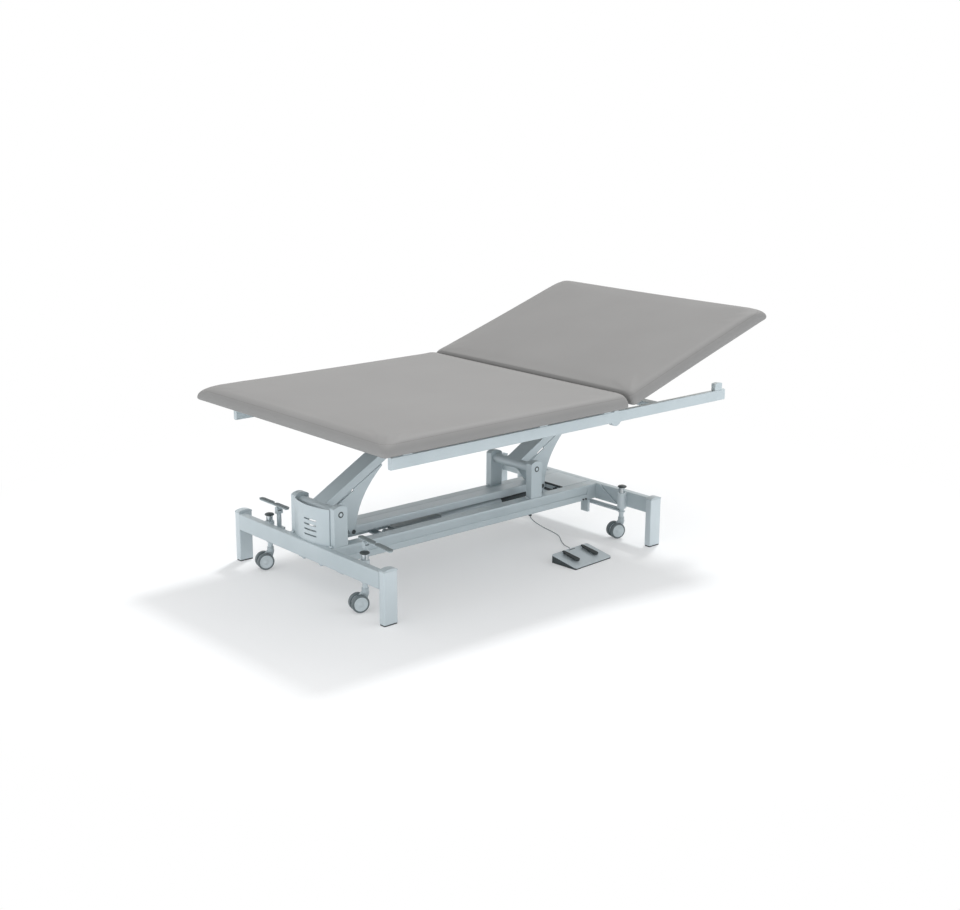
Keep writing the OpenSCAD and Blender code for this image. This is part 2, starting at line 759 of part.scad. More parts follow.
module foot_switch_plate() {
    color(steel) on_plate() {
        translate([switch_l / 2, -switch_d / 2, -switch_t]) linear_extrude(switch_t)
            polygon(rounded(switch_l, switch_d, switch_corner));
        button_pins();
    }
}
module button(share) {
    color(rubber) on_plate() translate([share * switch_l, -button_in, button_gap]) difference() {
        union() {
            translate([-button_rear_r, 0, 0]) pin_x(button_barrel_d, 2 * button_rear_r);
            linear_extrude(button_t) union() {
                circle(r = button_rear_r);
                translate([0, button_w / 2 + button_rear_r - button_l]) circle(d = button_w);
                polygon([[-button_rear_r, 0], [button_rear_r, 0], [button_w / 2, button_w / 2 + button_rear_r - button_l],
                    [-button_w / 2, button_w / 2 + button_rear_r - button_l]]);
            }
        }
        translate([-button_rear_r - over, 0, 0]) pin_x(button_pin_d + 2 * fit, 2 * (button_rear_r + over));
    }
}

// Cord from the near spine beam to the foot switch: a smooth tube through hand-placed points
gland_d = 13;
gland_h = 9;
gland_x = 310;
gland_y = -130;
cord_route = [[310, -130, 122], [314, -131, 112], [336, -134, 90], [384, -134, 58], [433, -132, 30], [455, -151, 11],
    [430, -193, 4], [402, -240, 4], [369, -299, 15], [345, -332, 19], [331.4, -352, 18]];
cord_steps = 5;
cord_sides = 8;
module cord_gland() {
    color(rubber) base_mid() translate([gland_x, gland_y, beam_z - gland_h]) cylinder(d = gland_d, h = gland_h);
}
function spline(p, q, r, s, t) = ((2 * q) + (r - p) * t + (2 * p - 5 * q + 4 * r - s) * t * t
    + (3 * q - p - 3 * r + s) * t * t * t) / 2;
function cord_line(p, n) = let (last = len(p) - 1) concat([for (i = [0:last - 1], k = [0:n - 1])
    spline(p[max(i - 1, 0)], p[i], p[i + 1], p[min(i + 2, last)], k / n)], [p[last]]);
function unit(v) = v / norm(v);
function heading(p, i) = unit(p[min(i + 1, len(p) - 1)] - p[max(i - 1, 0)]);
module tube_along(p, r, n) {
    points = [for (i = [0:len(p) - 1]) let (t = heading(p, i), u = unit(cross(t, [1, 1, 1])), v = cross(t, u))
        for (k = [0:n - 1]) p[i] + r * (cos(360 * k / n) * u + sin(360 * k / n) * v)];
    sides = [for (i = [0:len(p) - 2], k = [0:n - 1]) let (m = (k + 1) % n)
        each [[i * n + k, (i + 1) * n + m, (i + 1) * n + k], [i * n + k, i * n + m, (i + 1) * n + m]]];
    polyhedron(points, concat(sides, [[for (k = [n - 1:-1:0]) k], [for (k = [0:n - 1]) (len(p) - 1) * n + k]]));
}
module switch_cord() {
    color(rubber) base_mid() tube_along(cord_line(cord_route, cord_steps), cord_d / 2, cord_sides);
}

// Lift arms: box column between a lower and an upper cross tube, both bored for their shaft
module arm(x) {
    color(steel) base_mid() at_arm(x) difference() {
        union() {
            pin_y(arm_tube_d, 2 * (post_in - gap));
            translate([arm_l, 0, 0]) pin_y(arm_tube_d, 2 * (inner_in - gap));
            along_x(arm_l) polygon(rounded(column_w, column_d, edge_r));
        }
        for (a = [0, arm_l]) translate([a, 0, 0]) pin_y(shaft_d + 2 * fit, 2 * post_in);
    }
}

// Cheek plates welded under the columns, flush with their sides: a curved web down to the crank pin
weld_in = 47;
weld_out = 138;
weld_gap = 5;
cheek_foot = 7;
cheek_start = 20;
tail_r = 13;
cheek_bend_share = [0.445, 0.36];
crank_local = crank_r * [cos(crank_angle), -sin(crank_angle)];
eye_local = lever_r * [cos(lever_angle), -sin(lever_angle)];
cheek_top = -column_d / 2 - seat;
bush_d = 26;
module cheek_outline() {
    polygon(concat([[cheek_start, cheek_top], [weld_in, cheek_top], [weld_in, cheek_top - weld_gap],
        [weld_out, cheek_top - weld_gap], [weld_out, cheek_top], [cheek_l, cheek_top]],
        bend([cheek_l, cheek_top - cheek_foot], [cheek_l * cheek_bend_share[0], crank_local[1] * cheek_bend_share[1]],
            crank_local + [tail_r, 0], 16),
        arc(crank_local, tail_r, 0, -180, 12)));
}
module crank_pin() {
    translate([crank_local[0], 0, crank_local[1]]) {
        pin_y(crank_pin_d, column_w);
        for (s = [-1, 1]) translate([0, s * (tie_w / 2 + column_w / 2 - cheek_t) / 2, 0])
            pin_y(bush_d, column_w / 2 - cheek_t - tie_w / 2 - 2 * seat);
    }
}
module lever_outline() {
    across = unit([crank_local[1] - eye_local[1], eye_local[0] - crank_local[0]]) * tail_r;
    polygon([crank_local + across, eye_local + across, eye_local - across, crank_local - across]);
    translate(eye_local) circle(r = tail_r);
}
module cheek_plate(lever) {
    difference() {
        union() {
            cheek_outline();
            if (lever) lever_outline();
        }
        translate(crank_local) circle(d = crank_pin_d + 2 * fit);
        if (lever) translate(eye_local) circle(d = ram_pin_d + 2 * fit);
    }
}
module cheeks(x, lever) {
    color(steel) base_mid() at_arm(x) {
        both_sides() translate([0, (column_w - cheek_t) / 2, 0]) across_y(cheek_t) cheek_plate(lever);
        crank_pin();
    }
}

// Tie beam: pressed channel, open below, from crank pin to crank pin
tie_end = 20;
tie_pin_share = 0.42;
module tie_beam() {
    color(pale_steel) base_mid() translate([foot_pivot_x + crank_at[0], 0, pivot_z + crank_at[1]]) difference() {
        translate([-tie_end, 0, -tie_h * tie_pin_share]) difference() {
            along_x(pivot_span + 2 * tie_end) translate([0, tie_h / 2]) polygon(rounded(tie_w, tie_h, edge_r));
            translate([-over, 0, -over]) box([pivot_span + 2 * (tie_end + over), tie_w - 2 * tie_t, tie_h - tie_t + over]);
        }
        for (x = [0, pivot_span]) translate([x, 0, 0]) pin_y(crank_pin_d + 2 * fit, tie_w + 2 * over);
    }
}

// Upper pivot shafts across the inner rails
top_shaft_l = 2 * (inner_in + inner_t) + 4;
module top_shafts() {
    color(bright) base_mid() for (x = [0, pivot_span]) translate([frame_x + x, 0, frame_z]) pin_y(shaft_d, top_shaft_l);
}

// Actuator: gearbox with its motor and rear eye, outer tube, and rod with the front eye
ram_lug_w = 24;
gearbox_start = 22;
motor_start = 44;
motor_l = 120;
tube_out = gearbox_start + gearbox_l;
ram_pin_half = 27;
rod_in = 72;
eye_r = 16;
module on_ram() { base_mid() translate([-ram_x, 0, ram_z]) rotate([0, -ram_tilt, 0]) children(); }
module ram_eye(w, r, l) {
    across_y(w) union() {
        circle(r = r);
        translate([l > 0 ? 0 : l, -r]) square([abs(l), 2 * r]);
    }
}
module actuator_housing() {
    color(dark) on_ram() {
        difference() {
            union() {
                ram_eye(ram_lug_w - gap, ram_pin_d, gearbox_start);
                translate([gearbox_start, 0, 0]) along_x(gearbox_l) polygon(rounded(gearbox_w, gearbox_h, edge_r));
                translate([motor_start, 0, -(gearbox_h + motor_d) / 2 + edge_r]) pin_x(motor_d, motor_l);
            }
            pin_y(ram_pin_d + 2 * fit, ram_lug_w);
        }
        pin_y(ram_pin_d, 2 * (ear_in + ear_t));
    }
}
module actuator_tube() {
    color(pale_steel) on_ram() translate([tube_out, 0, 0]) rotate([0, 90, 0]) linear_extrude(ram_tube_l) difference() {
        circle(d = ram_tube_d);
        circle(d = ram_rod_d + 2 * fit);
    }
}
module actuator_rod() {
    color(dark) on_ram() {
        translate([tube_out + rod_in, 0, 0]) pin_x(ram_rod_d, ram_reach - eye_r - tube_out - rod_in);
        translate([ram_reach, 0, 0]) {
            ram_eye(ram_lug_w, eye_r, -eye_r);
            pin_y(ram_pin_d, 2 * ram_pin_half);
        }
    }
}

// Side rails with a half-round boss below, and a stepped head end
boss_x = 24;
boss_drop = 5;
rail_mid_y = (rail_w - rail_t) / 2;
module side_rails() {
    color(steel) base_mid() both_sides() union() {
        translate([rail_x0, rail_mid_y, frame_z]) along_x(rail_l) polygon(rounded(rail_t, rail_h, edge_r));
        translate([hinge_x + boss_x, rail_mid_y, frame_z - boss_drop]) pin_y(2 * boss_r, rail_t);
    }
}

// Inner frame: rails that carry the arms, cross tubes out to the side rails, the gas spring's seat
inner_back = 80;
inner_fore = 58;
inner_x0 = frame_x - inner_back;
inner_l = pivot_span + inner_back + inner_fore;
cross_foot = 52;
head_cross_x = 668;
gas_z = frame_z;
gas_eye_angle = back_angle - 125;
gas_eye = [hinge_x + gas_lever * cos(gas_eye_angle), hinge_z + gas_lever * sin(gas_eye_angle)];
gas_tilt = asin((gas_eye[1] - gas_z) / gas_reach);
gas_x = gas_eye[0] - gas_reach * cos(gas_tilt);
gas_ear_in = 8;
gas_ear_t = 4;
gas_pin_d = 8;
seat_back = 26;
inner_side_l = rail_w / 2 - rail_t - inner_in - inner_t - 2 * seat;
module cross_pair(x) {
    both_sides() translate([x, inner_in + inner_t + seat, rail_top - cross_h]) cube([cross_w, inner_side_l, cross_h]);
}
module gas_ears() {
    both_sides() translate([gas_x, gas_ear_in + gas_ear_t / 2, gas_z]) across_y(gas_ear_t) difference() {
        union() {
            circle(r = gas_pin_d);
            translate([-seat_back, -gas_pin_d]) square([seat_back, 2 * gas_pin_d]);
        }
        circle(d = gas_pin_d + 2 * fit);
    }
    translate([gas_x - seat_back - cross_h, 0, rail_low + edge_r]) box([cross_h, 2 * (inner_in - seat), rail_h - 2 * edge_r]);
}
module inner_frame() {
    color(steel) base_mid() {
        both_sides() difference() {
            translate([inner_x0, inner_in + inner_t / 2, frame_z]) along_x(inner_l)
                polygon(rounded(inner_t, rail_h, edge_r));
            for (x = [0, pivot_span]) translate([frame_x + x, inner_in + inner_t / 2, frame_z])
                pin_y(shaft_d + 2 * fit, inner_t + 2 * over);
        }
        translate([rail_x0 + cross_foot, 0, rail_top - cross_h]) box([cross_w, rail_w - 2 * (rail_t + seat), cross_h]);
        for (x = [gas_x - seat_back - cross_w, hinge_x - knuckle_d / 2 - cross_w, head_cross_x - cross_w]) cross_pair(x);
        gas_ears();
    }
}

// Bearers between rails and cushions, and the arched upstands at the head end
bearer_w = 40;
upstand_x = 21;
upstand_arch = 3;
upstand_gap = 1;
bearer_xs = [rail_x0 + cross_foot, gas_x - seat_back - cross_w];
module pad_bearers() {
    color(steel) base_mid() {
        for (x = bearer_xs) translate([x, 0, rail_top]) box([bearer_w, rail_w, bearer_h]);
        both_sides() translate([hinge_x - knuckle_d / 2 - bearer_w, inner_in, rail_top])
            cube([bearer_w, rail_w / 2 - inner_in, bearer_h]);
        both_sides() translate([rail_x1 - upstand_x - upstand_l / 2, rail_mid_y, rail_top]) across_y(rail_t)
            polygon(concat([[upstand_l / 2, 0]], bend([upstand_l / 2, bearer_h - upstand_gap - upstand_arch],
                [0, bearer_h - upstand_gap + upstand_arch], [-upstand_l / 2, bearer_h - upstand_gap - upstand_arch], 8),
                [[-upstand_l / 2, 0]]));
    }
}

// Cushions: rings of points over the lower edge, the rolled upper edge and the crown
function cushion_edge() = concat(
    [for (i = [0:low_steps]) let (a = 90 * i / low_steps) [pad_low_r * (1 - sin(a)), pad_low_r * (1 - cos(a))]],
    [for (i = [1:roll_steps]) let (a = 90 * i / roll_steps)
        [pad_roll * (1 - cos(a)), pad_low_r + (pad_t - pad_low_r) * sin(a)]]);
function corner_r(p) = p[1] <= pad_low_r ? pad_corner_r - p[0]
    : pad_corner_r + (pad_top_corner_r - pad_corner_r) * p[0] / pad_roll;
function drawn(a, b) = let (v = b - a, inward = [-v[1], v[0]] / norm(v))
    [for (k = [1:side_points]) let (t = k / (side_points + 1)) a + v * t + inward * pad_draw * sin(180 * t)];
function plan(l, i, r) = let (x = l / 2 - i - r, y = pad_w / 2 - i - r, n = corner_steps,
    c = [arc([x, y], r, 0, 90, n), arc([-x, y], r, 90, 180, n), arc([-x, -y], r, 180, 270, n), arc([x, -y], r, 270, 360, n)])
    [for (k = [0:3]) each concat(c[k], drawn(c[k][n], c[(k + 1) % 4][0]))];
module cushion(l) {
    top = plan(l, pad_roll, pad_top_corner_r);
    n = len(top);
    rings = concat([for (p = cushion_edge()) [for (q = plan(l, p[0], corner_r(p))) [q[0], q[1], p[1]]]],
        [for (k = [1:crown_rings - 1]) let (s = 1 - k / crown_rings) [for (q = top)
            [q[0] * s, q[1] * s, pad_t + pad_crown * (1 - s * s)]]]);
    m = len(rings);
    walls = [for (k = [0:m - 2], i = [0:n - 1]) let (a = k * n + i, b = k * n + (i + 1) % n)
        each [[a, a + n, b + n], [a, b + n, b]]];
    low = [for (i = [0:n - 1]) [m * n, i, (i + 1) % n]];
    high = [for (i = [0:n - 1]) [m * n + 1, (m - 1) * n + (i + 1) % n, (m - 1) * n + i]];
    translate([l / 2, 0, 0]) polyhedron(concat([for (r = rings) each r], [[0, 0, 0], [0, 0, pad_t + pad_crown]]),
        concat(walls, low, high));
}
board_clear = 0.5;
module upholstery(l) {
    difference() {
        cushion(l);
        translate([board_inset - board_clear, 0, -over]) box([l - 2 * (board_inset - board_clear),
            pad_w - 2 * (board_inset - board_clear), board_t + over]);
    }
}
module plywood_board(l) {
    translate([board_inset, 0, 0]) box([l - 2 * board_inset, pad_w - 2 * board_inset, board_t]);
}
module lower_pad() {
    color(vinyl) base_mid() translate([pad_x0, 0, pad_z]) upholstery(lower_l);
}
module lower_board() { color(plywood) base_mid() translate([pad_x0, 0, pad_z]) plywood_board(lower_l); }
module back_pad() {
    color(vinyl) base_mid() raised_back() translate([pad_gap / 2, 0, -hinge_rise])
        upholstery(back_l);
}
module back_board() {
    color(plywood) base_mid() raised_back() translate([pad_gap / 2, 0, -hinge_rise]) plywood_board(back_l);
}

// Hinges in the gap between the cushions: straps, knuckles and pins
hinge_ys = [150, 430];
knuckle_share = 0.42;
frame_knuckle_l = hinge_l * knuckle_share;
back_knuckle_l = (hinge_l - frame_knuckle_l) / 2 - seat;
leaf_l = 70;
strap_off = knuckle_d / 2 - strap_t;
module knuckle(l) {
    difference() {
        pin_y(knuckle_d, l);
        pin_y(hinge_pin_d + 2 * fit, l + 2 * over);
    }
}
module every_hinge() { both_sides() for (y = hinge_ys) translate([0, y, 0]) children(); }
module frame_hinges() {
    color(steel) base_mid() translate([hinge_x, 0, hinge_z]) every_hinge() {
        difference() {
            union() {
                pin_y(knuckle_d, frame_knuckle_l);
                translate([-knuckle_d / 2, 0, rail_top - cross_h - hinge_z])
                    box([strap_t, frame_knuckle_l, cross_h + hinge_z - rail_top]);
            }
            pin_y(hinge_pin_d + 2 * fit, hinge_l);
        }
        pin_y(hinge_pin_d, hinge_l);
    }
}
back_knuckle_y = (frame_knuckle_l + back_knuckle_l) / 2 + seat;
lever_in = 9;
lever_foot = 35;
lever_run = 110;
lever_eye_r = 10;
module hinge_leaf() {
    difference() {
        union() {
            for (s = [-1, 1]) translate([0, s * back_knuckle_y, 0]) {
                pin_y(knuckle_d, back_knuckle_l);
                translate([strap_off, 0, -hinge_rise - strap_t]) box([strap_t, back_knuckle_l, hinge_rise + strap_t]);
            }
            translate([strap_off, 0, -hinge_rise - strap_t]) box([leaf_l, hinge_l, strap_t]);
        }
        pin_y(hinge_pin_d + 2 * fit, hinge_l + 2 * over);
    }
}
module gas_lever_cheeks() {
    eye = gas_lever * [cos(gas_eye_angle - back_angle), sin(gas_eye_angle - back_angle)];
    both_sides() translate([0, lever_in + strap_t / 2, 0]) across_y(strap_t) union() {
        translate(eye) circle(r = lever_eye_r);
        polygon([[lever_foot, -hinge_rise], [lever_run, -hinge_rise], eye + [lever_eye_r, -lever_eye_r] * sin(45),
            eye + [-lever_eye_r, lever_eye_r] * sin(45)]);
    }
}
module back_hinges() {
    color(steel) base_mid() raised_back() {
        every_hinge() hinge_leaf();
        gas_lever_cheeks();
    }
}

// Gas spring under the back section, between the inner rails
gas_eye_r = 8;
gas_eye_w = 12;
gas_start = 24;
gas_rod_d = 9;
gas_rod_in = 60;
module on_gas() { base_mid() translate([gas_x, 0, gas_z]) rotate([0, -gas_tilt, 0]) children(); }
module gas_cylinder() {
    color(rubber) on_gas() difference() {
        union() {
            ram_eye(gas_eye_w, gas_eye_r, gas_start);
            translate([gas_start, 0, 0]) pin_x(gas_d, gas_l);
        }
        pin_y(gas_pin_d + 2 * fit, gas_d);
        translate([gas_start + edge_r, 0, 0]) pin_x(gas_rod_d + 2 * fit, gas_l);
    }
    color(rubber) on_gas() pin_y(gas_pin_d, 2 * (gas_ear_in + gas_ear_t));
}
module gas_rod() {
    color(bright) on_gas() {
        translate([gas_start + gas_l - gas_rod_in - edge_r, 0, 0])
            pin_x(gas_rod_d, gas_reach - gas_eye_r - gas_start - gas_l + gas_rod_in + edge_r);
        translate([gas_reach, 0, 0]) ram_eye(gas_eye_w, gas_eye_r, -gas_eye_r);
    }
}

// The pieces, one at a time or all together
end_beams();
spine_beams();
legs();
leg_caps();
rubber_feet();
pivot_posts();
base_shafts();
frame_brackets();
vent_panel();
base_cover();
base_fasteners();
control_box();
castor_sleeves();
castor_necks();
castor_caps();
pedal_posts();
foot_switch_body();
foot_switch_plate();
cord_gland();
switch_cord();
arm(foot_pivot_x);  // foot_arm
arm(head_pivot_x);  // head_arm
cheeks(foot_pivot_x, false);  // foot_cheeks
cheeks(head_pivot_x, true);  // head_cheeks
tie_beam();
top_shafts();
actuator_housing();
actuator_tube();
actuator_rod();
side_rails();
inner_frame();
pad_bearers();
lower_board();
lower_pad();
frame_hinges();
back_board();
back_pad();
back_hinges();
gas_cylinder();
gas_rod();
pedal(far_post_y, far_bar_shift, 0);  // far_pedal
pedal_pads(far_post_y, far_bar_shift, 0);  // far_pedal_pads
pedal(-near_post_y, -near_bar_shift, near_tilt);  // near_pedal
pedal_pads(-near_post_y, -near_bar_shift, near_tilt);  // near_pedal_pads
torsion_shaft(1);  // far_torsion_shaft
torsion_shaft(-1);  // near_torsion_shaft
castor_stem(-1, -1);  // stem_foot_near
castor_fork(-1, -1);  // fork_foot_near
castor_wheels(-1, -1);  // wheels_foot_near
castor_stem(-1, 1);  // stem_foot_far
castor_fork(-1, 1);  // fork_foot_far
castor_wheels(-1, 1);  // wheels_foot_far
castor_stem(1, -1);  // stem_head_near
castor_fork(1, -1);  // fork_head_near
castor_wheels(1, -1);  // wheels_head_near
castor_stem(1, 1);  // stem_head_far
castor_fork(1, 1);  // fork_head_far
castor_wheels(1, 1);  // wheels_head_far
button(button_share);  // up_pedal
button(1 - button_share);  // down_pedal
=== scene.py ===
import math

import bpy
import numpy as np
from mathutils import Matrix, Vector
from mathutils.bvhtree import BVHTree


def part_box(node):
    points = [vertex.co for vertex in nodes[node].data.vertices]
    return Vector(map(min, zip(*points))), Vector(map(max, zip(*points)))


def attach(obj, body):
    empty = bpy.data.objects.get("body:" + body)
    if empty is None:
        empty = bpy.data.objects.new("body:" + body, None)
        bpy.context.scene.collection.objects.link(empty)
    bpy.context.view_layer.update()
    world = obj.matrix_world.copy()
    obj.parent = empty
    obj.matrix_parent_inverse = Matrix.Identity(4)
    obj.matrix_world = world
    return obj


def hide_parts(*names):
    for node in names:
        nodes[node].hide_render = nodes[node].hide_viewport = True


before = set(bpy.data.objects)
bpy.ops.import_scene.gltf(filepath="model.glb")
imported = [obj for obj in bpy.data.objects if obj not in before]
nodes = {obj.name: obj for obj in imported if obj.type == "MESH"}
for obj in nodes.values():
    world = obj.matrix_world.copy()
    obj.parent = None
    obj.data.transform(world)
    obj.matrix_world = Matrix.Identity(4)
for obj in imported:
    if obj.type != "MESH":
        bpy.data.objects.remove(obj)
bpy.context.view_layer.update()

# Camera: it looks from the near foot corner, a little above the cushions, at the
# whole table. Its place and lens give the same perspective as the photograph.
MM = 0.001
BASE_X = 0.5 * (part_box("end_beams")[0][0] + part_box("end_beams")[1][0])
CAMERA_PLACE = Vector((-3577.6, -4220.6, 1855.1)) * MM + Vector((BASE_X, 0, 0))
CAMERA_HEADING, CAMERA_DIP, CAMERA_ROLL = 0.8476, 0.2561, 0.0063
FOCAL_SHARE = 1436.48 / 960
ahead = Vector((math.cos(CAMERA_HEADING) * math.cos(CAMERA_DIP),
                math.sin(CAMERA_HEADING) * math.cos(CAMERA_DIP), -math.sin(CAMERA_DIP)))
right = Vector((math.sin(CAMERA_HEADING), -math.cos(CAMERA_HEADING), 0))
up = right.cross(ahead)
rolled_right = math.cos(CAMERA_ROLL) * right + math.sin(CAMERA_ROLL) * up
rolled_up = math.cos(CAMERA_ROLL) * up - math.sin(CAMERA_ROLL) * right
lens = bpy.data.cameras.new("camera")
lens.sensor_width = 36
lens.lens = lens.sensor_width * FOCAL_SHARE
lens.clip_end = 60
camera = bpy.data.objects.new("camera", lens)
bpy.context.scene.collection.objects.link(camera)
turn = Matrix((rolled_right, rolled_up, -ahead)).transposed().to_4x4()
camera.matrix_world = Matrix.Translation(CAMERA_PLACE) @ turn
bpy.context.scene.camera = camera

# Foot switch cord: a thin grey PVC cable that drops from its gland under the near
# spine beam, lies on the floor in one loose bend and rises into the foot switch.


def linear(hex_colour, alpha=1.0):
    """sRGB hex to linear: each channel below 0.04045 is divided by 12.92, the rest follow the 2.4 power."""
    channels = [int(hex_colour[i:i + 2], 16) / 255 for i in (1, 3, 5)]
    return tuple(c / 12.92 if c <= 0.04045 else ((c + 0.055) / 1.055) ** 2.4 for c in channels) + (alpha,)


def node(material, kind, links=None, **settings):
    """Adds one shader node, sets its properties and sockets by name, and links its inputs."""
    made = material.node_tree.nodes.new(kind)
    for name, value in settings.items():
        if hasattr(made, name):
            setattr(made, name, value)
        else:
            made.inputs[name.replace("_", " ")].default_value = value
    for name, source in (links or {}).items():
        material.node_tree.links.new(source, made.inputs[name])
    return made


def new_material(name):
    """An empty node material with its Principled shader wired to the output."""
    material = bpy.data.materials.new(name)
    material.use_nodes = True
    material.node_tree.nodes.clear()
    shader = node(material, "ShaderNodeBsdfPrincipled")
    output = node(material, "ShaderNodeOutputMaterial")
    material.node_tree.links.new(shader.outputs["BSDF"], output.inputs["Surface"])
    return material, shader


def ramp(material, source, low, high, dark, pale):
    """Maps a value between low and high to a blend between two colours."""
    blend = node(material, "ShaderNodeValToRGB", {"Fac": source})
    blend.color_ramp.elements[0].position = low
    blend.color_ramp.elements[0].color = dark
    blend.color_ramp.elements[1].position = high
    blend.color_ramp.elements[1].color = pale
    return blend.outputs["Color"]


def mesh_piece(name, vertices, faces, material, smooth=True):
    """A mesh object at the origin from arrays of points and faces."""
    mesh = bpy.data.meshes.new(name)
    mesh.from_pydata(np.asarray(vertices, float).tolist(), [], [tuple(int(i) for i in f) for f in faces])
    mesh.polygons.foreach_set("use_smooth", [smooth] * len(mesh.polygons))
    mesh.update()
    piece = bpy.data.objects.new(name, mesh)
    bpy.context.scene.collection.objects.link(piece)
    mesh.materials.append(material)
    return piece


def grid_faces(rows, columns, close_rows=False, close_columns=True):
    """Quads between neighbouring rows and columns of a grid of points, wrapped where it closes."""
    r = np.arange(rows if close_rows else rows - 1)
    c = np.arange(columns if close_columns else columns - 1)
    r, c = [a.ravel() for a in np.meshgrid(r, c, indexing="ij")]
    r2, c2 = (r + 1) % rows, (c + 1) % columns
    return np.stack([r * columns + c, r * columns + c2, r2 * columns + c2, r2 * columns + c], 1)


def capped(faces, rows, columns):
    """The grid's faces with one many-sided face over its first row and one over its last."""
    return [tuple(f) for f in faces] + [tuple(range(columns))[::-1],
                                        tuple((rows - 1) * columns + i for i in range(columns))]


def through(points, steps):
    """Catmull-Rom curve: between two points each coordinate is the cubic that has their
    neighbours' half difference as its slope."""
    p = np.asarray(points, float)
    p = np.vstack([p[:1], p, p[-1:]])
    t = (np.arange(steps) / steps)[None, :, None]
    a, b, c, d = p[:-3, None], p[1:-2, None], p[2:-1, None], p[3:, None]
    curve = (2 * b + (c - a) * t + (2 * a - 5 * b + 4 * c - d) * t ** 2
             + (3 * b - a - 3 * c + d) * t ** 3) / 2
    return np.vstack([curve.reshape(-1, 3), p[-2:-1]])


def tube(path, radius, sides):
    """A ring of points round each point of the path, square to its direction there."""
    along = np.gradient(path, axis=0)
    along /= np.linalg.norm(along, axis=1)[:, None]
    across = np.cross(along, np.array([1.0, 1.0, 1.0]))
    across /= np.linalg.norm(across, axis=1)[:, None]
    other = np.cross(along, across)
    angle = np.linspace(0, 2 * np.pi, sides, endpoint=False)[None, :, None]
    rings = path[:, None] + radius * (np.cos(angle) * across[:, None] + np.sin(angle) * other[:, None])
    return rings.reshape(-1, 3)


def pvc_sheath():
    """Grey PVC cable sheath: soft sheen, a faint drawn grain along it."""
    material, shader = new_material("pvc_cable_sheath")
    place = node(material, "ShaderNodeTexCoord").outputs["Object"]
    grain = node(material, "ShaderNodeTexNoise", {"Vector": place}, Scale=300.0, Detail=2.0)
    colour = ramp(material, grain.outputs["Fac"], 0.3, 0.7, linear("#6F7679"), linear("#7F8689"))
    material.node_tree.links.new(colour, shader.inputs["Base Color"])
    shader.inputs["Roughness"].default_value = 0.42
    return material


CORD_ROUTE = [(310, -130, 122), (314, -131, 112), (336, -134, 90), (384, -134, 58), (433, -132, 30),
              (455, -151, 11), (430, -193, 4), (402, -240, 4), (369, -299, 15), (345, -332, 19),
              (331, -352.8, 18)]
CORD_D, CORD_STEPS, CORD_SIDES = 3.6 * MM, 8, 12
cord_path = through(np.array(CORD_ROUTE) * MM + np.array([BASE_X, 0, 0]), CORD_STEPS)
cord_rings = tube(cord_path, CORD_D / 2, CORD_SIDES)
cord_faces = capped(grid_faces(len(cord_path), CORD_SIDES), len(cord_path), CORD_SIDES)
cord = mesh_piece("switch_cable", cord_rings, cord_faces, pvc_sheath())
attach(cord, "base")
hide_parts("switch_cord")

# Cushions: firm foam on plywood under stretched warm grey vinyl. The upper edge rolls down
# to a tight lower edge, the sides are drawn in between the corners, and one sewn seam runs
# all round on the roll.
PAD_T, PAD_W = 55 * MM, 1200 * MM
LOWER_L, BACK_L = 1183 * MM, 841 * MM
ROLL, LOW_R, DRAW, CROWN = 45 * MM, 10 * MM, 4 * MM, 5 * MM
CORNER_R, TOP_CORNER_R, HINGE_CORNER_R = 16 * MM, 110 * MM, 24 * MM
HINGE_ROLL = 11 * MM
CORNER_STEPS, SIDE_RUNS = 9, 14
PLAN_POINTS = 4 * (CORNER_STEPS + SIDE_RUNS)
PAD_GAP = 14 * MM
HINGE_RISE = 30 * MM
BACK_ANGLE = math.radians(18)
lower_low, lower_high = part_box("lower_pad")
PAD_Z = lower_low[2]
HINGE_X = lower_high[0] + PAD_GAP / 2


def plan_ring(length, level, hinge_end, steps=CORNER_STEPS, runs=SIDE_RUNS):
    """Outline of a cushion seen from above at one level of its edge: four corner arcs, tighter
    at the hinge end, and between them sides that are drawn in by a half sine of their length."""
    inset, hinge_inset, corner, hinge_corner = level
    arcs = []
    for sx, sy, start in ((1, 1, 0), (-1, 1, 90), (-1, -1, 180), (1, -1, 270)):
        r, gap = (hinge_corner, hinge_inset) if sx == hinge_end else (corner, inset)
        a = np.radians(start + np.linspace(0, 90, steps))
        arcs.append(np.stack([sx * (length / 2 - gap - r) + r * np.cos(a),
                              sy * (PAD_W / 2 - inset - r) + r * np.sin(a)], 1))
    t = np.linspace(0, 1, runs + 2)[1:-1, None]
    parts = []
    for k in range(4):
        a, b = arcs[k][-1], arcs[(k + 1) % 4][0]
        side = (b - a) / np.linalg.norm(b - a)
        parts += [arcs[k], a + (b - a) * t + DRAW * np.sin(np.pi * t) * np.array([-side[1], side[0]])]
    return np.vstack(parts)


def edge_level(angle, shrink=0.0):
    """Height and outline on the rolled upper edge, a quarter of an ellipse: from the side, at
    angle 0, to the flat top, at 90 degrees. The roll is narrower at the hinge."""
    share = 1 - math.cos(math.radians(angle))
    return LOW_R + (PAD_T - LOW_R) * math.sin(math.radians(angle)), (
        ROLL * share + shrink, HINGE_ROLL * share + shrink, CORNER_R + (TOP_CORNER_R - CORNER_R) * share,
        CORNER_R + (HINGE_CORNER_R - CORNER_R) * share)


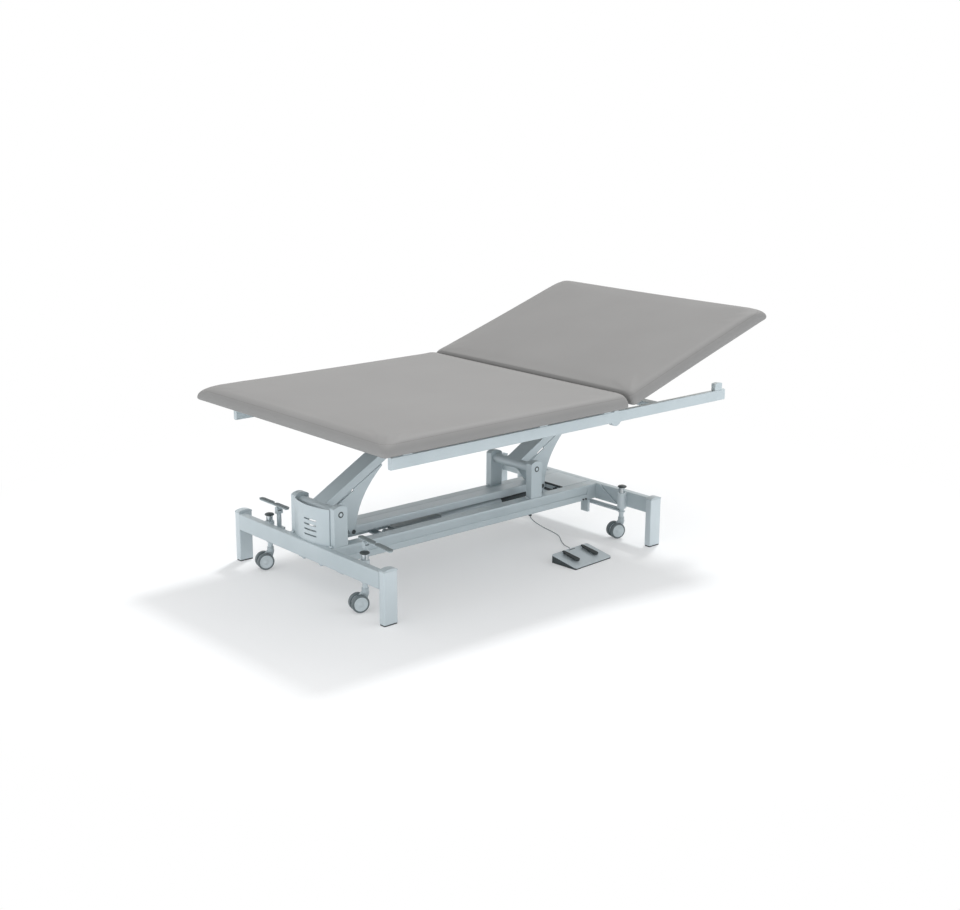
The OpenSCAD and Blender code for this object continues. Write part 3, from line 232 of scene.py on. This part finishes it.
def cushion_form(length, hinge_end, shrink=0.0):
    """Rings over the underside, round the lower edge, up the roll, and over the crown, whose
    height falls with the square of the distance from the middle."""
    levels = [(LOW_R * (1 - math.cos(a)), (LOW_R * (1 - math.sin(a)) + shrink,) * 2
               + (CORNER_R - LOW_R * (1 - math.sin(a)),) * 2) for a in np.radians(np.linspace(0, 90, 6))]
    levels += [edge_level(a, shrink) for a in np.linspace(0, 90, 15)[1:]]
    rings = [np.column_stack([plan_ring(length, level, hinge_end),
                              np.full(PLAN_POINTS, height * (1 - shrink / PAD_T))])
             for height, level in levels]
    top, under = rings[-1][:, :2], rings[0][:, :2]
    for s in np.linspace(1, 0, 13)[1:-1]:
        rings.append(np.column_stack([top * s, np.full(PLAN_POINTS, PAD_T + CROWN * (1 - s * s) - shrink)]))
    below = [np.column_stack([under * s, np.zeros(PLAN_POINTS)]) for s in np.linspace(0.08, 1, 8)[:-1]]
    rings = below + rings
    points = np.vstack(rings)
    points[:, 0] += length / 2
    return points, capped(grid_faces(len(rings), PLAN_POINTS), len(rings), PLAN_POINTS)


def to_back(points):
    """Places points given from the hinge along the back section, and turns them up by its angle."""
    x, z = points[:, 0] + PAD_GAP / 2, points[:, 2] - HINGE_RISE
    turned = points.copy()
    turned[:, 0] = HINGE_X + x * math.cos(BACK_ANGLE) - z * math.sin(BACK_ANGLE)
    turned[:, 2] = PAD_Z + HINGE_RISE + x * math.sin(BACK_ANGLE) + z * math.cos(BACK_ANGLE)
    return turned


def to_lower(points):
    """Places points given from the foot end along the lower cushion."""
    return points + np.array([lower_low[0], 0, PAD_Z])


def vinyl():
    """Upholstery vinyl: a warm grey skin with a fine embossed grain and a soft sheen."""
    material, shader = new_material("embossed_upholstery_vinyl")
    place = node(material, "ShaderNodeTexCoord").outputs["Object"]
    # Real grain is under 1 mm wide, too fine for the render, so it is drawn at 4 mm
    cells = node(material, "ShaderNodeTexVoronoi", {"Vector": place}, Scale=250.0, feature="SMOOTH_F1")
    pores = node(material, "ShaderNodeTexNoise", {"Vector": place}, Scale=600.0, Detail=3.0)
    cloud = node(material, "ShaderNodeTexNoise", {"Vector": place}, Scale=3.5, Detail=4.0)
    colour = ramp(material, cloud.outputs["Fac"], 0.3, 0.75, linear("#8C8B8A"), linear("#91908F"))
    grain = node(material, "ShaderNodeMath", {0: cells.outputs["Distance"], 1: pores.outputs["Fac"]},
                 operation="ADD")
    relief = node(material, "ShaderNodeBump", {"Height": grain.outputs[0]}, Strength=0.12, Distance=0.0006)
    wear = node(material, "ShaderNodeMapRange", {"Value": cloud.outputs["Fac"]}, To_Min=0.54, To_Max=0.66)
    links = material.node_tree.links
    links.new(colour, shader.inputs["Base Color"])
    links.new(relief.outputs["Normal"], shader.inputs["Normal"])
    links.new(wear.outputs["Result"], shader.inputs["Roughness"])
    shader.inputs["IOR"].default_value = 1.5
    shader.inputs["Specular IOR Level"].default_value = 0.22
    return material


SETTLE_FRAMES = 20
FABRIC_STIFFNESS, FABRIC_BENDING, FABRIC_MASS = 30, 8, 0.3


def stuffed(piece, cap, voxel=8 * MM, pressure=4.0):
    """Remeshes the form, lets Cloth swell it from inside for a few frames, and caps how far each
    point moves. The lowest part, which is stapled to the board, doesn't move."""
    view = bpy.context.view_layer
    view.objects.active = piece
    remesh = piece.modifiers.new("remesh", "REMESH")
    remesh.mode = "VOXEL"
    remesh.voxel_size = voxel
    remesh.use_smooth_shade = True
    bpy.ops.object.modifier_apply(modifier=remesh.name)
    count = len(piece.data.vertices)
    start = np.empty(count * 3)
    piece.data.vertices.foreach_get("co", start)
    start = start.reshape(-1, 3)
    held = piece.vertex_groups.new(name="board")
    low = start[:, 2] < LOW_R * 0.6
    held.add(np.nonzero(low)[0].tolist(), 1.0, "REPLACE")
    cloth = piece.modifiers.new("cloth", "CLOTH")
    cloth.settings.quality = 4
    cloth.settings.mass = FABRIC_MASS
    cloth.settings.tension_stiffness = FABRIC_STIFFNESS
    cloth.settings.compression_stiffness = FABRIC_STIFFNESS
    cloth.settings.bending_stiffness = FABRIC_BENDING
    cloth.settings.use_pressure = True
    cloth.settings.uniform_pressure_force = pressure
    cloth.settings.vertex_group_mass = "board"
    cloth.settings.effector_weights.gravity = 0
    cloth.collision_settings.use_collision = False
    cloth.point_cache.frame_end = SETTLE_FRAMES
    for step in range(1, SETTLE_FRAMES + 1):
        bpy.context.scene.frame_set(step)
    settled = piece.evaluated_get(bpy.context.evaluated_depsgraph_get())
    end = np.empty(count * 3)
    settled.data.vertices.foreach_get("co", end)
    end = end.reshape(-1, 3)
    piece.modifiers.remove(cloth)
    bpy.context.scene.frame_set(1)
    move = end - start
    far = np.linalg.norm(move, axis=1)
    move *= (np.minimum(far, cap) / np.maximum(far, 1e-9))[:, None]
    piece.data.vertices.foreach_set("co", (start + move).ravel())
    piece.data.update()


SEAM_ANGLE, SEAM_HEIGHT, SEAM_REACH = 48, 0.25 * MM, 0.8 * MM


def seam_shade_vinyl():
    """Seam in the vinyl: its darker grey paints the shade of its fold; matt, with the pitch of the stitches.
    """
    material, shader = new_material("seam_fold_painted_shade")
    place = node(material, "ShaderNodeTexCoord").outputs["Object"]
    stitches = node(material, "ShaderNodeTexNoise", {"Vector": place}, Scale=220.0, Detail=1.0)
    # Darker than the vinyl's grey: painted shade of the seam's fold
    colour = ramp(material, stitches.outputs["Fac"], 0.35, 0.65, linear("#7B7977"), linear("#858381"))
    material.node_tree.links.new(colour, shader.inputs["Base Color"])
    shader.inputs["Roughness"].default_value = 0.7
    return material


def seam_on(cushion, path):
    """A thin flat cord laid on the cushion along a closed path: at each point an ellipse across
    the surface, as high as SEAM_HEIGHT and as wide to each side as SEAM_REACH."""
    tree = BVHTree.FromObject(cushion, bpy.context.evaluated_depsgraph_get())
    hits = [tree.find_nearest(Vector(p)) for p in path]
    spot, face = np.array([h[0] for h in hits]), np.array([h[1] for h in hits])
    along = np.roll(spot, -1, 0) - np.roll(spot, 1, 0)
    across = np.cross(face, along / np.linalg.norm(along, axis=1)[:, None])
    angle = np.linspace(0, 2 * np.pi, 8, endpoint=False)[None, :, None]
    rings = (spot[:, None] + SEAM_HEIGHT * np.cos(angle) * face[:, None]
             + SEAM_REACH * np.sin(angle) * across[:, None])
    return rings.reshape(-1, 3), grid_faces(len(path), 8, close_rows=True)


GROWTH, SWELL_CAP = 1 * MM, 2.5 * MM
grey_vinyl, seam_shade_paint = vinyl(), seam_shade_vinyl()
for name, length, hinge_end, place, body, solid in (
        ("lower_cushion", LOWER_L, 1, to_lower, "upper_frame", "lower_pad"),
        ("back_cushion", BACK_L, -1, to_back, "back_section", "back_pad")):
    points, faces = cushion_form(length, hinge_end, -GROWTH)
    cushion = mesh_piece(name, points, faces, grey_vinyl)
    stuffed(cushion, cap=SWELL_CAP)
    smooth = cushion.modifiers.new("smooth", "SUBSURF")
    smooth.levels = smooth.render_levels = 1
    co = np.empty(len(cushion.data.vertices) * 3)
    cushion.data.vertices.foreach_get("co", co)
    cushion.data.vertices.foreach_set("co", place(co.reshape(-1, 3)).ravel())
    cushion.data.polygons.foreach_set("use_smooth", [True] * len(cushion.data.polygons))
    cushion.data.update()
    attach(cushion, body)
    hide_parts(solid)
    height, level = edge_level(SEAM_ANGLE)
    ring = plan_ring(length, level, hinge_end, steps=12, runs=60)
    path = place(np.column_stack([ring[:, 0] + length / 2, ring[:, 1], np.full(len(ring), height)]))
    points, faces = seam_on(cushion, path)
    # The seam cord is a real seam and carries the painted shade of its fold
    seam = mesh_piece(name + "_seam", points, faces, seam_shade_paint)
    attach(seam, body)

# Plywood boards: birch plywood let into the underside of each cushion, sanded and left plain.


def plywood():
    """Birch plywood: pale face veneer with long faint grain lines."""
    material, shader = new_material("sanded_birch_plywood")
    place = node(material, "ShaderNodeTexCoord").outputs["Object"]
    stretch = node(material, "ShaderNodeMapping", {"Vector": place}, Scale=(1.0, 14.0, 14.0))
    grain = node(material, "ShaderNodeTexNoise", {"Vector": stretch.outputs["Vector"]}, Scale=9.0, Detail=6.0)
    colour = ramp(material, grain.outputs["Fac"], 0.35, 0.65, linear("#A5917A"), linear("#C2B29C"))
    relief = node(material, "ShaderNodeBump", {"Height": grain.outputs["Fac"]}, Strength=0.1, Distance=0.0004)
    material.node_tree.links.new(colour, shader.inputs["Base Color"])
    material.node_tree.links.new(relief.outputs["Normal"], shader.inputs["Normal"])
    shader.inputs["Roughness"].default_value = 0.6
    return material


def dress(names, material):
    """Gives CAD nodes a finish in place of their packed one."""
    for name in names:
        for slot in nodes[name].material_slots:
            slot.material = material


dress(["lower_board", "back_board"], plywood())

# Painted steel: welded box sections, plates and tubes under satin silver-grey powder coat.


def powder_coat(name, dark, pale, roughness=0.38, metallic=0.15):
    """Satin powder coat: fine orange peel, soft rounded edges and a faint cloudiness in the grey."""
    material, shader = new_material(name)
    place = node(material, "ShaderNodeTexCoord").outputs["Object"]
    # Orange peel is about 1 mm wide
    peel = node(material, "ShaderNodeTexNoise", {"Vector": place}, Scale=900.0, Detail=1.0)
    cloud = node(material, "ShaderNodeTexNoise", {"Vector": place}, Scale=6.0, Detail=3.0)
    edge = node(material, "ShaderNodeBevel", samples=4, Radius=0.0014)
    relief = node(material, "ShaderNodeBump",
                  {"Height": peel.outputs["Fac"], "Normal": edge.outputs["Normal"]},
                  Strength=0.06, Distance=0.0003)
    colour = ramp(material, cloud.outputs["Fac"], 0.3, 0.7, linear(dark), linear(pale))
    material.node_tree.links.new(colour, shader.inputs["Base Color"])
    material.node_tree.links.new(relief.outputs["Normal"], shader.inputs["Normal"])
    shader.inputs["Roughness"].default_value = roughness
    shader.inputs["Metallic"].default_value = metallic
    return material


silver_coat = powder_coat("satin_silver_powder_coat", "#B7C2C6", "#BEC8CC")
pale_coat = powder_coat("pale_silver_powder_coat", "#C3CDD1", "#C9D2D6")
dress(["end_beams", "spine_beams", "pivot_posts", "frame_brackets", "vent_panel", "pedal_posts",
       "foot_arm", "head_arm", "foot_cheeks", "head_cheeks", "side_rails", "inner_frame", "pad_bearers",
       "frame_hinges", "back_hinges", "far_pedal", "near_pedal", "far_torsion_shaft",
       "near_torsion_shaft"], silver_coat)
ENDS = [(end, side) for end in ("foot", "head") for side in ("near", "far")]
dress(["legs", "base_cover", "castor_sleeves", "tie_beam", "actuator_tube", "base_shafts",
       "foot_switch_plate"] + [f"stem_{end}_{side}" for end, side in ENDS], pale_coat)

# Plated steel: upper shafts, castor necks and rods, ground and bright zinc plated.


def plated_steel():
    """Bright plated steel: a clear metal with fine turned lines round the stems."""
    material, shader = new_material("bright_zinc_plate")
    place = node(material, "ShaderNodeTexCoord").outputs["Object"]
    lines = node(material, "ShaderNodeTexNoise", {"Vector": place}, Scale=400.0, Detail=2.0)
    colour = ramp(material, lines.outputs["Fac"], 0.3, 0.7, linear("#C3C8CA"), linear("#D8DCDE"))
    rough = node(material, "ShaderNodeMapRange", {"Value": lines.outputs["Fac"]}, To_Min=0.18, To_Max=0.32)
    material.node_tree.links.new(colour, shader.inputs["Base Color"])
    material.node_tree.links.new(rough.outputs["Result"], shader.inputs["Roughness"])
    shader.inputs["Metallic"].default_value = 1.0
    return material


dress(["castor_necks", "top_shafts", "gas_rod"], plated_steel())

# Moulded plastic: leg caps and castor forks in light grey, the actuator's housing in mid grey,
# and the boxes, castor caps, fasteners and the foot switch's body in dark grey.


def moulded(name, dark, pale, roughness):
    """Injection moulded plastic: a fine spark-eroded texture and softly rounded edges."""
    material, shader = new_material(name)
    place = node(material, "ShaderNodeTexCoord").outputs["Object"]
    texture = node(material, "ShaderNodeTexNoise", {"Vector": place}, Scale=1200.0, Detail=2.0)
    cloud = node(material, "ShaderNodeTexNoise", {"Vector": place}, Scale=20.0, Detail=2.0)
    edge = node(material, "ShaderNodeBevel", samples=4, Radius=0.0012)
    relief = node(material, "ShaderNodeBump",
                  {"Height": texture.outputs["Fac"], "Normal": edge.outputs["Normal"]},
                  Strength=0.1, Distance=0.0003)
    colour = ramp(material, cloud.outputs["Fac"], 0.3, 0.7, linear(dark), linear(pale))
    material.node_tree.links.new(colour, shader.inputs["Base Color"])
    material.node_tree.links.new(relief.outputs["Normal"], shader.inputs["Normal"])
    shader.inputs["Roughness"].default_value = roughness
    return material


cap_plastic = moulded("light_grey_polyamide", "#B2BCC0", "#BAC4C8", 0.4)
mid_plastic = moulded("mid_grey_polyamide", "#8A9498", "#949EA2", 0.42)
dark_plastic = moulded("dark_grey_polyamide", "#3C4344", "#474F50", 0.4)
dress(["leg_caps"] + [f"fork_{end}_{side}" for end, side in ENDS], cap_plastic)
dress(["actuator_housing"], mid_plastic)
dress(["base_fasteners", "control_box", "castor_caps", "foot_switch_body", "cord_gland",
       "gas_cylinder", "actuator_rod"], dark_plastic)

# Rubber: feet and the foot switch's buttons in black, the ribbed pedal pads in grey.
dress(["rubber_feet", "up_pedal", "down_pedal"], moulded("moulded_black_rubber", "#2C3233", "#363D3E", 0.62))
dress(["far_pedal_pads", "near_pedal_pads"], moulded("moulded_grey_rubber", "#7F888A", "#8B9496", 0.55))

# Castor wheels: narrow dark grey tyres with dished light grey hub discs clipped into each face.
WHEEL_D, WHEEL_W, WEB_T, WHEEL_GAP = 66 * MM, 17 * MM, 11 * MM, 1 * MM
TRAIL, SWIVEL, CASTOR_Y = 25 * MM, math.radians(-16), 306 * MM
CASTOR_X = 667 * MM
AXLE_Z = WHEEL_D / 2 + 2.5 * MM
tyre = moulded("dark_grey_polyurethane_tyre", "#636C6F", "#6E777A", 0.5)
dress([f"wheels_{end}_{side}" for end, side in ENDS], tyre)


def turned(profile, centre, axis, sides=48):
    """A turned piece: the profile's radii and heights, in millimetres, revolved about an axis from
    its centre."""
    r, h = np.array(profile, float).T * MM
    axis = np.array(axis, float)
    side = np.cross(axis, [0, 0, 1.0])
    other = np.cross(side, axis)
    angle = np.linspace(0, 2 * np.pi, sides, endpoint=False)[None, :, None]
    rings = (np.array(centre, float) + h[:, None, None] * axis
             + r[:, None, None] * (np.cos(angle) * side + np.sin(angle) * other))
    return rings.reshape(-1, 3), capped(grid_faces(len(r), sides), len(r), sides)


# Flat rim, shallow cone inward and a small domed boss
HUB_PROFILE = [(26.4, -1.5), (26.1, 0.5), (25.1, 0.9), (23.1, 0.4), (11.2, -1.0), (7.9, -0.8),
               (5.6, 0.4), (2.0, 0.8)]
hub_plastic = moulded("light_grey_hub_polyamide", "#C0C9CC", "#CAD2D5", 0.4)
for end, side in ENDS:
    stem = Vector(((CASTOR_X if end == "head" else -CASTOR_X) + BASE_X,
                   CASTOR_Y if side == "far" else -CASTOR_Y, AXLE_Z))
    axle = stem - TRAIL * Vector((math.cos(SWIVEL), math.sin(SWIVEL), 0))
    for s in (-1, 1):
        outward = s * np.array([-math.sin(SWIVEL), math.cos(SWIVEL), 0])
        face_out = WEB_T / 2 + WHEEL_GAP + WHEEL_W
        points, faces = turned(HUB_PROFILE, np.array(axle) + outward * face_out, outward)
        name = f"hub_disc_{end}_{side}_{'outer' if s > 0 else 'inner'}"
        disc = mesh_piece(name, points, faces, hub_plastic)
        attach(disc, f"wheels_{end}_{side}_body")

# Bolts and rings: a black ring round each pivot shaft's end, which paints the shade in the groove
# there, a socket screw in each end of the crank pins, and painted nubs where the lift posts stand on
# the beams, in the paler coat, which is partly a painted highlight at each post's foot.
PIVOT_XS, PIVOT_Z = (-647.0, 336.0), 317.0
POST_OUT, POST_MID, POST_HALF, BEAM_TOP, NUB_OUT = 138.0, 123.0, 30.0, 196.0, 7.0
CRANK, COLUMN_HALF = (127.28, -114.2), 41.5
# Black ring: painted shade of the groove round a pivot shaft's end
GROOVE_SHADE_PROFILE = [(11.8, -0.2), (11.5, 0.6), (9.4, 0.6), (9.1, 0.1), (2.0, 0.1)]
SCREW_PROFILE = [(8.6, -0.5), (8.6, 1.6), (7.8, 2.2), (4.6, 2.2), (4.2, 0.6), (1.0, 0.4)]
NUB_PROFILE = [(6.5, -0.5), (6.5, 3.0), (5.6, 4.6), (3.4, 5.6), (0.8, 5.9)]


def base_point(x, y, z):
    """A point given in millimetres from the middle of the base, in the frame of the model."""
    return np.array([x * MM + BASE_X, y * MM, z * MM])


for x, arm in zip(PIVOT_XS, ("foot_arm", "head_arm")):
    end = arm.split("_")[0]
    for s, side in ((-1, "near"), (1, "far")):
        for kind, profile, at, axis, material, body, finish in (
                # The dark ring is painted shade of the groove round the shaft's end
                ("pivot_groove_shade", GROOVE_SHADE_PROFILE, (x, s * POST_OUT, PIVOT_Z), (0, s, 0),
                 dark_plastic, "base", "dark_plastic"),
                ("crank_screw", SCREW_PROFILE, (x + CRANK[0], s * COLUMN_HALF, PIVOT_Z + CRANK[1]),
                 (0, s, 0), dark_plastic, arm, "dark_plastic"),
                # The nub is real; its paler coat is partly a painted highlight
                ("post_nub", NUB_PROFILE, (x - POST_HALF - NUB_OUT, s * POST_MID, BEAM_TOP), (0, 0, 1),
                 pale_coat, "base", "pale_paint")):
            if axis[2]:
                points, faces = turned(profile, (0, 0, 0), (0, 1, 0))
                points = points[:, [0, 2, 1]] * np.array([1, -1, 1]) + base_point(*at)
            else:
                points, faces = turned(profile, base_point(*at), axis)
            piece = mesh_piece(f"{kind}_{end}_{side}", points, faces, material)
            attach(piece, body)

# Welds: fillet beads under the paint, with the ripple of the torch, where the cheek plates meet
# the lift arms, where the posts stand on the spine beams, and where the beams meet the legs.
ARM_ANGLE = math.radians(29.6)
RIPPLE = 2.6 * MM


def bead(start, end, radius):
    """A tube from start to end whose radius swells by an eighth once in each ripple's length."""
    start, end = np.array(start), np.array(end)
    count = max(int(np.linalg.norm(end - start) / RIPPLE) * 3, 6)
    t = np.linspace(0, 1, count)[:, None]
    swell = radius * (1 + 0.125 * np.sin(2 * np.pi * np.arange(count) / 3))
    path = start + (end - start) * t
    rings = tube(path, 1.0, 8).reshape(count, 8, 3) - path[:, None]
    rings = path[:, None] + rings * swell[:, None, None]
    return rings.reshape(-1, 3), capped(grid_faces(count, 8), count, 8)


def on_arm(x, along, down, y):
    """A point on a lift arm: along it from its lower pivot at x, and square to it."""
    c, s = math.cos(ARM_ANGLE), math.sin(ARM_ANGLE)
    return base_point(x + along * c + down * s, y, PIVOT_Z + along * s - down * c)


CHEEK_WELD, CHEEK_WELD_R = ((138, 180), 18.2, 41.4), 1.7
POST_WELD, POST_WELD_R = (110, 136), 1.8
LEG_WELD, LEG_WELD_R = (685, 450, (136, 192)), 1.6
beads = []
for x, end in zip(PIVOT_XS, ("foot", "head")):
    for s, side in ((-1, "near"), (1, "far")):
        along, down, y = CHEEK_WELD
        beads.append((f"cheek_weld_{end}_{side}", *[on_arm(x, a, down, s * y) for a in along],
                      CHEEK_WELD_R, f"{end}_arm"))
        for place, face_x in (("rear", x + POST_HALF), ("front", x - POST_HALF)):
            beads.append((f"post_weld_{place}_{end}_{side}",
                          *[base_point(face_x, s * y, BEAM_TOP) for y in POST_WELD], POST_WELD_R, "base"))
        out = 1 if end == "head" else -1
        beads.append((f"leg_weld_{end}_{side}",
                      *[base_point(out * LEG_WELD[0], s * LEG_WELD[1], z) for z in LEG_WELD[2]],
                      LEG_WELD_R, "base"))
for name, start, stop, radius, body in beads:
    points, faces = bead(start, stop, radius * MM)
    weld = mesh_piece(name, points, faces, silver_coat)
    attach(weld, body)

# Foot switch window: a thin dark lens let into the plate near its rear edge, between the buttons.
SWITCH_X, SWITCH_Y, SWITCH_REAR = 213.0, -357.0, 34.0
WINDOW_MIDDLE, WINDOW_REACH, WINDOW_R = np.array([113.0, -8.5]), 16, 2.2
SWITCH_TURN, SWITCH_TILT = math.radians(3.5), math.radians(10.7525)


def on_plate(points):
    """Points in millimetres along the foot switch's plate, back from its rear edge and above it."""
    u, v, w = np.asarray(points, float).T
    y = v * math.cos(SWITCH_TILT) - w * math.sin(SWITCH_TILT)
    z = SWITCH_REAR + v * math.sin(SWITCH_TILT) + w * math.cos(SWITCH_TILT)
    x = SWITCH_X + u * math.cos(SWITCH_TURN) - y * math.sin(SWITCH_TURN)
    y = SWITCH_Y + u * math.sin(SWITCH_TURN) + y * math.cos(SWITCH_TURN)
    return np.stack([x * MM + BASE_X, y * MM, z * MM], 1)


angle = np.radians(np.arange(0, 360, 7.5) + 3.75)
outline = np.stack([np.sign(np.cos(angle)) * WINDOW_REACH + WINDOW_R * np.cos(angle),
                    WINDOW_R * np.sin(angle)], 1)
levels = [(1.0, -0.4), (1.0, 0.3), (0.97, 0.5)]
rings = np.vstack([np.column_stack([outline * k + WINDOW_MIDDLE, np.full(len(outline), h)])
                   for k, h in levels])
faces = capped(grid_faces(len(levels), len(outline)), len(levels), len(outline))
window = mesh_piece("switch_window", on_plate(rings), faces, dark_plastic)
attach(window, "base")

# Floor and light: a pale studio floor in a white surround, a wide sun-like lamp from behind
# on the right, and cool fills from the near right and the foot end. None is part of the table.
FLOOR_REACH, FLOOR_CLEAR, FLOOR_WHITE, FLOOR_GLOW = 40, 1.25, 2.4, 0.3
floor_mesh = bpy.data.meshes.new("studio_floor")
corners = [(x * FLOOR_REACH, y * FLOOR_REACH, 0) for x, y in ((-1, -1), (1, -1), (1, 1), (-1, 1))]
floor_mesh.from_pydata(corners, [], [(0, 1, 2, 3)])
floor = bpy.data.objects.new("studio_floor", floor_mesh)
bpy.context.scene.collection.objects.link(floor)
floor_paint, floor_shader = new_material("matt_white_floor")
floor_shader.inputs["Base Color"].default_value = (0.92, 0.93, 0.94, 1)
floor_shader.inputs["Roughness"].default_value = 0.9
floor_shader.inputs["Specular IOR Level"].default_value = 0.0
# Seen by the camera, part of the floor's shade is plain white, and away from the table all of
# it, so that the shadow is pale and the floor has no horizon
place = node(floor_paint, "ShaderNodeTexCoord").outputs["Object"]
away = node(floor_paint, "ShaderNodeVectorMath", {0: place}, operation="LENGTH")
fade = node(floor_paint, "ShaderNodeMapRange", {"Value": away.outputs["Value"]},
            interpolation_type="SMOOTHSTEP", From_Min=FLOOR_CLEAR, From_Max=FLOOR_WHITE, To_Min=FLOOR_GLOW)
seen = node(floor_paint, "ShaderNodeMath", {0: fade.outputs["Result"],
            1: node(floor_paint, "ShaderNodeLightPath").outputs["Is Camera Ray"]}, operation="MULTIPLY")
white = node(floor_paint, "ShaderNodeEmission", Color=(1, 1, 1, 1), Strength=1.0)
blend = node(floor_paint, "ShaderNodeMixShader",
             {0: seen.outputs[0], 1: floor_shader.outputs["BSDF"], 2: white.outputs[0]})
floor_output = floor_paint.node_tree.nodes["Material Output"]
floor_paint.node_tree.links.new(blend.outputs[0], floor_output.inputs["Surface"])
floor_mesh.materials.append(floor_paint)

world = bpy.data.worlds.new("studio")
bpy.context.scene.world = world
world.use_nodes = True
world.node_tree.nodes.clear()
rays = node(world, "ShaderNodeLightPath").outputs
seen = node(world, "ShaderNodeMath", {0: rays["Is Camera Ray"], 1: rays["Is Glossy Ray"]},
            operation="MAXIMUM")
seen = node(world, "ShaderNodeMath", {0: seen.outputs[0], 1: rays["Is Transmission Ray"]},
            operation="MAXIMUM")
# The surround lights the table with less than the white that is seen
strength = node(world, "ShaderNodeMapRange", {"Value": seen.outputs[0]}, To_Min=0.78, To_Max=1.0)
surround = node(world, "ShaderNodeBackground", {"Strength": strength.outputs["Result"]}, Color=(1, 1, 1, 1))
node(world, "ShaderNodeOutputWorld", {"Surface": surround.outputs["Background"]})


def aimed(name, kind, place, target):
    """A lamp at place, turned to face target."""
    lamp = bpy.data.lights.new(name, kind)
    light = bpy.data.objects.new(name, lamp)
    bpy.context.scene.collection.objects.link(light)
    aim = (Vector(target) - Vector(place)).to_track_quat("-Z", "Y")
    light.matrix_world = Matrix.Translation(place) @ aim.to_matrix().to_4x4()
    return lamp


key = aimed("key_from_behind", "SUN", (3.0, 1.5, 4.2), (0, 0, 0))
key.energy = 1.6
key.angle = math.radians(9)
for name, place, size, energy in (("fill_from_near_right", (2.6, -4.4, 1.4), 2.6, 38),
                                  ("fill_from_foot_end", (-4.4, -1.2, 1.3), 2.6, 32)):
    fill = aimed(name, "AREA", place, (0, 0, 0.3))
    fill.size = size
    fill.energy = energy
    fill.color = (0.88, 0.95, 1.0)
bpy.context.scene.view_settings.view_transform = "Standard"
